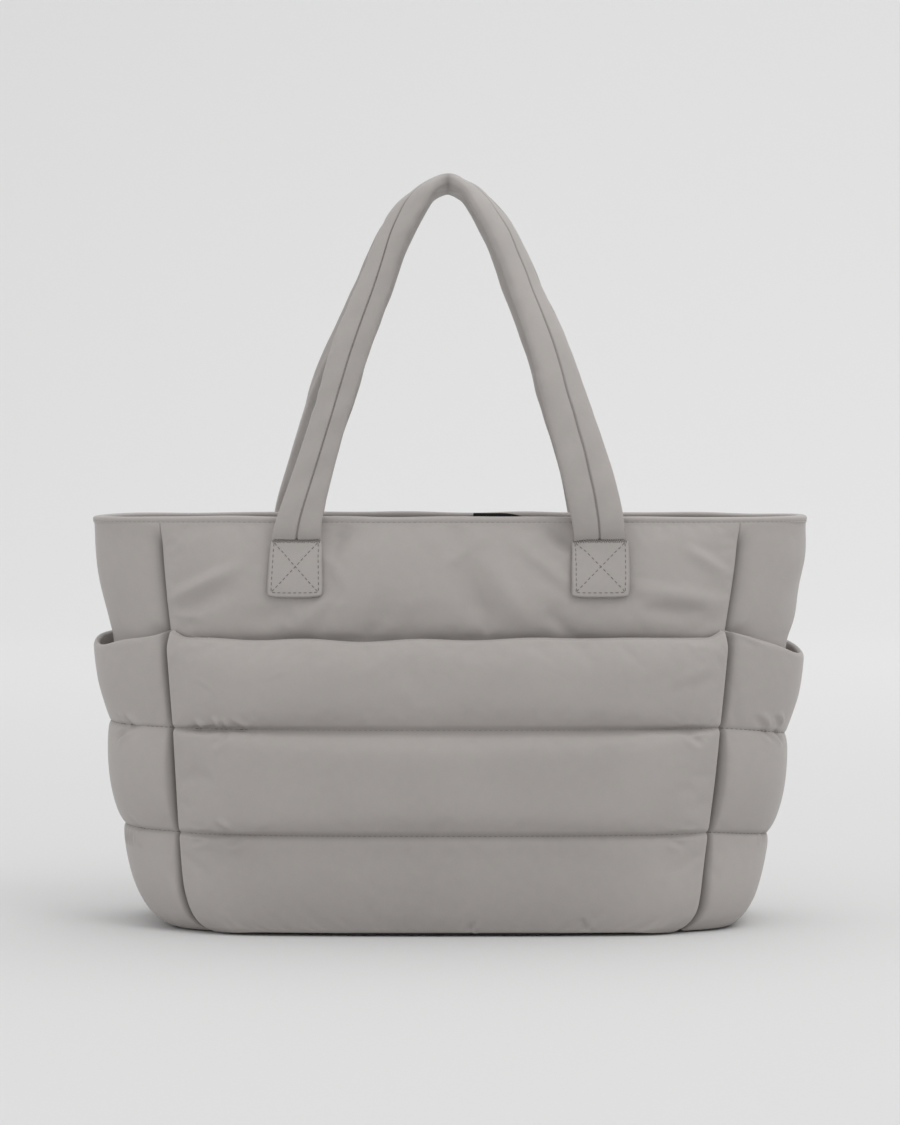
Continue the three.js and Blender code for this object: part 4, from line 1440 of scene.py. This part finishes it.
class BAG_OT_tabs(bpy.types.Operator):
    """Build the four flat tabs that hold the handles, and the small black tab inside the rim"""

    bl_idname = "bag.tabs"
    bl_label = "Tabs"

    def execute(self, context):
        for facing in (-1, 1):
            for side in (-1, 1):
                self.handle_tab(context, facing, side)
        self.inner_tab(context)
        return {"FINISHED"}

    def handle_tab(self, context, facing, side):
        thickness = context.scene.bag_sizes.tab_thickness
        piece = self.flat_grid(f"tab_{FACE_NAMES[facing]}_{SIDE_NAMES[side]}_sewn", 24, 24)
        share = np.array([vertex.co for vertex in piece.data.vertices])
        points = tab_points(facing, side, share[:, 0], share[:, 1], TAB_GAP)
        for vertex, point in zip(piece.data.vertices, points):
            vertex.co = point * MM
        # Painted shadow along the tab's sides and bottom edge
        shade = 0.5 * smoothstep((np.maximum(np.abs(share[:, 0]), -share[:, 1]) - 0.93) / 0.07)
        sewn = piece.data.attributes.new("sewn", "FLOAT", "POINT")
        sewn.data.foreach_set("value", shade.astype(np.float32))
        self.finish_tab(piece, thickness, facing)
        seat(piece, f"tab_{FACE_NAMES[facing]}_{SIDE_NAMES[side]}", strap_cloth())

    def inner_tab(self, context):
        half_width, half_depth, _, _ = level_at(RIM_HEIGHT)
        middle, wide, height, high, inside = INNER_TAB
        piece = self.flat_grid("inner_tab_webbing", 20, 10)
        for vertex in piece.data.vertices:
            x = middle + wide * vertex.co.x
            z = height + high * vertex.co.y - 4.0 * max(vertex.co.x, 0) ** 2
            y = (half_depth - inside) * superellipse(x / half_width)
            vertex.co = (x * MM, y * MM, z * MM)
        self.finish_tab(piece, 0.0016, -1)
        seat(piece, "inner_tab", black_webbing())

    @staticmethod
    def flat_grid(name, columns, rows):
        """A flat grid of half size 1, ready to be shaped."""
        bpy.ops.object.select_all(action="DESELECT")
        bpy.ops.mesh.primitive_grid_add(x_subdivisions=columns, y_subdivisions=rows, size=2)
        piece = bpy.context.active_object
        piece.name = name
        piece.data.name = name
        return piece

    @staticmethod
    def finish_tab(piece, thickness, facing):
        """Give a shaped grid its thickness, rounded edges and its own map."""
        face_outward(piece)
        if piece.data.polygons[0].normal.y * facing < 0:
            piece.data.flip_normals()
        wall = piece.modifiers.new("thickness", "SOLIDIFY")
        wall.thickness = thickness
        wall.offset = 1.0
        edge = piece.modifiers.new("edge", "BEVEL")
        edge.width = thickness * 0.38
        edge.segments = 3
        edge.limit_method = "ANGLE"
        edge.angle_limit = math.radians(50)
        apply_modifiers(piece)
        piece.data.shade_smooth()
        flat_map(piece, 0, 2)


def tab_points(facing, side, across, up, offset):
    """Points of a tab that follows the panel behind it; across and up run from -1 to 1."""
    top, top_half, bottom, bottom_half = TABS[side]
    corner = 1 - 0.03 * (across * up) ** 8
    across = across * corner
    up = up * corner
    share = (up + 1) / 2
    bowed = np.where(up < 0, 0.8 * (1 - across ** 4) * up ** 2, 0)
    z = (TAB_BOTTOM + TAB_TOP) / 2 + (TAB_TOP - TAB_BOTTOM) / 2 * up - bowed
    x = bottom + (top - bottom) * share + (bottom_half + (top_half - bottom_half) * share) * across
    half_width, _, seam_x, lean = level_at(z)
    column = (x - lean) / seam_x
    behind = front_offset(column, z) if facing < 0 else upper_swell(z, column, UPPER_SWELL)
    pillow = 0.6 * (1 - across ** 6) * (1 - up ** 6) + 0.9 * smoothstep((up - 0.55) / 0.45)
    total = behind + offset + pillow
    return face_points(facing, column / (1 + total / half_width), z, total)


def tab_face(facing, side, across, up, lift):
    """Points above a tab's outer face, with the directions out of it."""
    step = 0.01
    right, left = (tab_points(facing, side, across + move, up, TAB_GAP) for move in (step, -step))
    above, below = (tab_points(facing, side, across, up + move, TAB_GAP) for move in (step, -step))
    out = -facing * np.cross(right - left, above - below)
    out /= np.linalg.norm(out, axis=1, keepdims=True)
    return tab_points(facing, side, across, up, TAB_GAP) + out * lift, out


def along_line(marks, run, values):
    """Values of a line at distances run along it."""
    return np.stack([np.interp(marks, run, values[:, k]) for k in range(3)], axis=1)


class BAG_OT_stitching(bpy.types.Operator):
    """Sew the rim, the channels and the tabs with copies of one stitch"""

    bl_idname = "bag.stitching"
    bl_label = "Stitching"

    def execute(self, context):
        self.model_stitch(context)
        self.sew(context, "rim_stitches", [self.rim_line()], True, thread=pale_thread())
        self.sew(context, "channel_stitches", self.channel_lines(context), False)
        for facing in (-1, 1):
            lines = []
            for side in (-1, 1):
                lines += self.tab_lines(context, facing, side)
            self.sew(context, f"tab_{FACE_NAMES[facing]}_stitches", lines, False)
            # Dark bar tacks; on the right tabs they also stand in as painted shadow where the handle meets the
            # tab
            bars = [self.bar_line(context, facing, side) for side in (-1, 1)]
            self.sew(context, f"tab_{FACE_NAMES[facing]}_bar_stitches", bars, False, BAR_PITCH)
        return {"FINISHED"}

    def model_stitch(self, context):
        """One rounded stitch along X, sunk at both ends, lying on the XY plane, in the same order each run."""
        sizes = context.scene.bag_sizes
        bpy.ops.object.select_all(action="DESELECT")
        bpy.ops.mesh.primitive_uv_sphere_add(
            segments=6, ring_count=4, radius=1.0, rotation=(0, math.pi / 2, 0))
        stitch = context.active_object
        bpy.ops.object.transform_apply(location=True, rotation=True, scale=True)
        points = np.array([vertex.co for vertex in stitch.data.vertices])
        order = np.lexsort(np.round(points.T, 4))
        points = points[order]
        rank = np.argsort(order).tolist()
        faces = [[rank[v] for v in polygon.vertices] for polygon in stitch.data.polygons]
        starts = [face.index(min(face)) for face in faces]
        self.faces = sorted(face[start:] + face[:start] for face, start in zip(faces, starts))
        length = sizes.stitch_length / MM / 2
        radius = sizes.thread_radius / MM
        points[:, 0] = np.sign(points[:, 0]) * np.abs(points[:, 0]) ** 0.7 * length
        points[:, 1] *= radius
        points[:, 2] = points[:, 2] * radius - 0.25 * radius * (points[:, 0] / length) ** 2
        self.points = points
        bpy.data.objects.remove(stitch, do_unlink=True)

    def sew(self, context, name, lines, is_loop, pitch=None, thread=None):
        """Lay stitches along lines of points with their outward directions."""
        pitch = pitch or context.scene.bag_sizes.stitch_pitch / MM
        points = []
        faces = []
        for line, out in lines:
            if is_loop:
                line = np.concatenate([line, line[:1]])
                out = np.concatenate([out, out[:1]])
            run = arc_lengths(line[:, None, :], 0)[:, 0]
            count = max(int(run[-1] / pitch), 1)
            marks = (np.arange(count) + 0.5) * run[-1] / count
            place = along_line(marks, run, line)
            ahead = along_line(marks + 0.5, run, line)
            behind = along_line(marks - 0.5, run, line)
            up = along_line(marks, run, out)
            for i in range(count):
                along = ahead[i] - behind[i]
                along /= np.linalg.norm(along)
                lift = up[i] - along * np.dot(up[i], along)
                lift /= np.linalg.norm(lift)
                start = len(points) * len(self.points)
                axes = np.stack([along, np.cross(lift, along), lift])
                points.append(place[i] + self.points @ axes)
                faces += [[start + v for v in face] for face in self.faces]
        piece = new_piece(name, np.concatenate(points), faces)
        piece.data.shade_smooth()
        seat(piece, None, thread or dark_thread())

    @staticmethod
    def rim_line():
        half_width, half_depth, _, _ = level_at(RIM_HEIGHT)
        across, deep = BAG_OT_rim.stations(720)
        x = (half_width - 0.15) * across
        y = (half_depth - 0.15) * deep
        up = 1.6
        rise = BAG_OT_rim.waver(half_width * across, half_depth * deep) * up / BAND_HEIGHT
        line = np.stack([x, y, RIM_HEIGHT - BAND_HEIGHT + up + rise], axis=1)
        out = np.stack([across / half_width, deep / half_depth, 0 * across], axis=1)
        return line, out / np.linalg.norm(out, axis=1, keepdims=True)

    @staticmethod
    def channel_lines(context):
        """Lines along the sewn channels of the front pocket, the side pockets and the back."""
        seam = context.scene.bag_sizes.seam_padding / MM
        lines = []
        for z in SEWN_LINES:
            column = np.linspace(-0.985, 0.985, 160)
            height = np.full(column.shape, z)
            seam_x = level_at(height)[2]
            edge = pocket_seam(column, height)
            front = pocket_gape("front", column, height)
            front = front + quilt_thickness(height, column, edge, "front", seam) + 0.05
            back = quilt_thickness(height, column, seam_x, "back", seam) - 2.1
            forward = np.tile((0.0, -1.0, 0.0), (len(column), 1))
            lines.append((face_points(-1, column, height, front, edge), forward))
            lines.append((face_points(1, column, height, back), -forward))
            for facing in (-1, 1):
                side = pocket_gape("side", column, height)
                side = side + quilt_thickness(height, column, level_at(height)[1], "side", seam) + 0.05
                outward = np.tile((float(facing), 0.0, 0.0), (len(column), 1))
                sagged = side_height(facing, column, height)
                edge = pocket_seam(facing, sagged)
                lines.append((side_points(facing, column, sagged, side, edge), outward))
        return lines

    @staticmethod
    def tab_lines(context, facing, side):
        """A box with crossed lines."""
        lift = context.scene.bag_sizes.tab_thickness / MM + 0.05
        edge = 0.84
        top = 0.92
        paths = [
            ((-edge, -edge), (edge, -edge)), ((edge, -edge), (edge, top)),
            ((-edge, top), (-edge, -edge)), ((-edge, -edge), (edge, top)), ((-edge, top), (edge, -edge)),
        ]
        lines = []
        for start, stop in paths:
            t = np.linspace(0, 1, 40)
            across = start[0] + (stop[0] - start[0]) * t
            up = start[1] + (stop[1] - start[1]) * t
            lines.append(tab_face(facing, side, across, up, lift))
        return lines

    @staticmethod
    def bar_line(context, facing, side):
        """A close zigzag along a tab's upper edge, where the handle is sewn on."""
        turns = np.arange(49)
        across = np.linspace(-0.92, 0.92, len(turns))
        up = 0.945 + 0.035 * np.where(turns % 2 == 0, 1, -1)
        return tab_face(facing, side, across, up, context.scene.bag_sizes.tab_thickness / MM + 0.05)


def aim_at(thing, place, target):
    """Turn a light or a camera at a place towards its target."""
    aim = np.array(target) - np.array(place)
    flat = math.hypot(aim[0], aim[1])
    thing.rotation_euler = (math.atan2(flat, -aim[2]), 0, math.atan2(-aim[0], aim[1]))


class BAG_OT_stage(bpy.types.Operator):
    """Set the floor, the backdrop, the soft light and the camera"""

    bl_idname = "bag.stage"
    bl_label = "Stage"

    def execute(self, context):
        settings = context.scene.bag_stage
        self.backdrop(context, settings)
        self.lights(context, settings)
        self.camera(context, settings)
        return {"FINISHED"}

    def backdrop(self, context, settings):
        bpy.ops.object.select_all(action="DESELECT")
        bpy.ops.mesh.primitive_plane_add(size=12.0, location=(0, 0, 0))
        floor = context.active_object
        floor.name = "backdrop"
        bpy.ops.object.mode_set(mode="EDIT")
        bpy.ops.mesh.select_all(action="DESELECT")
        bpy.ops.object.mode_set(mode="OBJECT")
        for edge in floor.data.edges:
            edge.select = all(floor.data.vertices[v].co.y > 5 for v in edge.vertices)
        bpy.ops.object.mode_set(mode="EDIT")
        bpy.ops.mesh.select_mode(type="EDGE")
        bpy.ops.mesh.extrude_region_move(TRANSFORM_OT_translate={"value": (0, 0, 6.0)})
        bpy.ops.object.mode_set(mode="OBJECT")
        bend = floor.modifiers.new("bend", "BEVEL")
        bend.width = 3.0
        bend.segments = 24
        bend.limit_method = "ANGLE"
        apply_modifiers(floor)
        floor.data.shade_smooth()
        material, tree, shader = new_material("pale paper")
        place = add_node(tree, "ShaderNodeTexCoord")
        mottling = add_node(tree, "ShaderNodeTexNoise", {"Vector": place.outputs["Object"], "Scale": 300.0})
        tone = add_node(tree, "ShaderNodeMapRange", {
            "Value": mottling.outputs[0], "To Min": 0.985, "To Max": 1.015})
        parts = add_node(tree, "ShaderNodeSeparateXYZ", {0: place.outputs["Object"]})
        # Painted shade: darker from under the bag towards the camera
        near = add_node(tree, "ShaderNodeMapRange", {
            "Value": parts.outputs["Y"], "From Min": 0.3, "From Max": 3.0,
            "To Min": settings.near_floor, "To Max": 1.0}, interpolation_type="SMOOTHSTEP")
        light = math_node(tree, "MULTIPLY", tone.outputs[0], near.outputs[0])
        colour = vector_node(tree, "MULTIPLY", tuple(settings.floor)[:3], light)
        tree.links.new(colour, shader.inputs["Base Color"])
        shader.inputs["Roughness"].default_value = 0.95
        shader.inputs["Specular IOR Level"].default_value = 0.1
        floor.data.materials.append(material)

    def lights(self, context, settings):
        world = bpy.data.worlds.new("studio")
        context.scene.world = world
        world.use_nodes = True
        world.node_tree.nodes["Background"].inputs["Color"].default_value = (1.0, 1.0, 1.0, 1.0)
        world.node_tree.nodes["Background"].inputs["Strength"].default_value = settings.daylight
        self.area("overhead", (1.3, 0.9, 4.3), (0.5, 0.9, 0), 7.0, settings.overhead)
        self.area("front", (1.6, -1.8, 3.2), (0, 0, 0.2), 2.0, settings.front)
        self.area("fill", (-2.4, -0.9, 0.7), (0, 0, 0.15), 1.2, settings.fill)

    @staticmethod
    def area(name, place, target, size, power):
        bpy.ops.object.light_add(type="AREA", location=place)
        light = bpy.context.active_object
        light.name = name
        light.data.shape = "DISK"
        light.data.size = size
        light.data.energy = power
        aim_at(light, place, target)

    @staticmethod
    def camera(context, settings):
        bpy.ops.object.camera_add(location=CAMERA_PLACE)
        camera = context.active_object
        camera.name = "camera"
        aim_at(camera, CAMERA_PLACE, CAMERA_TARGET)
        camera.data.sensor_fit = "AUTO"
        camera.data.sensor_width = 36.0
        camera.data.lens = settings.lens
        context.scene.camera = camera
        context.scene.view_settings.view_transform = "Standard"
        context.scene.view_settings.look = "None"


class BAG_PT_panel(bpy.types.Panel):
    """Settings and building steps of the bag"""

    bl_idname = "BAG_PT_panel"
    bl_label = "Padded tote bag"
    bl_space_type = "VIEW_3D"
    bl_region_type = "UI"
    bl_category = "Bag"

    def draw(self, context):
        for group in (context.scene.bag_sizes, context.scene.bag_cloth, context.scene.bag_finish,
                      context.scene.bag_stage):
            box = self.layout.box()
            for name in group.__annotations__:
                box.prop(group, name)
        for step in STEPS:
            self.layout.operator(step.bl_idname)


STEPS = (
    BAG_OT_pockets, BAG_OT_body, BAG_OT_base, BAG_OT_rim, BAG_OT_handles, BAG_OT_tabs,
    BAG_OT_stitching, BAG_OT_stage,
)
GROUPS = {"bag_sizes": BagSizes, "bag_cloth": BagCloth, "bag_finish": BagFinish, "bag_stage": BagStage}


def register():
    for name, group in GROUPS.items():
        bpy.utils.register_class(group)
        setattr(bpy.types.Scene, name, bpy.props.PointerProperty(type=group))
    for step in STEPS:
        bpy.utils.register_class(step)
    bpy.utils.register_class(BAG_PT_panel)


def unregister():
    bpy.utils.unregister_class(BAG_PT_panel)
    for step in reversed(STEPS):
        bpy.utils.unregister_class(step)
    for name, group in GROUPS.items():
        delattr(bpy.types.Scene, name)
        bpy.utils.unregister_class(group)


def main():
    register()
    bpy.ops.bag.pockets()
    bpy.ops.bag.body()
    bpy.ops.bag.base()
    bpy.ops.bag.rim()
    bpy.ops.bag.handles()
    bpy.ops.bag.tabs()
    bpy.ops.bag.stitching()
    bpy.ops.bag.stage()


if __name__ == "__main__":
    main()
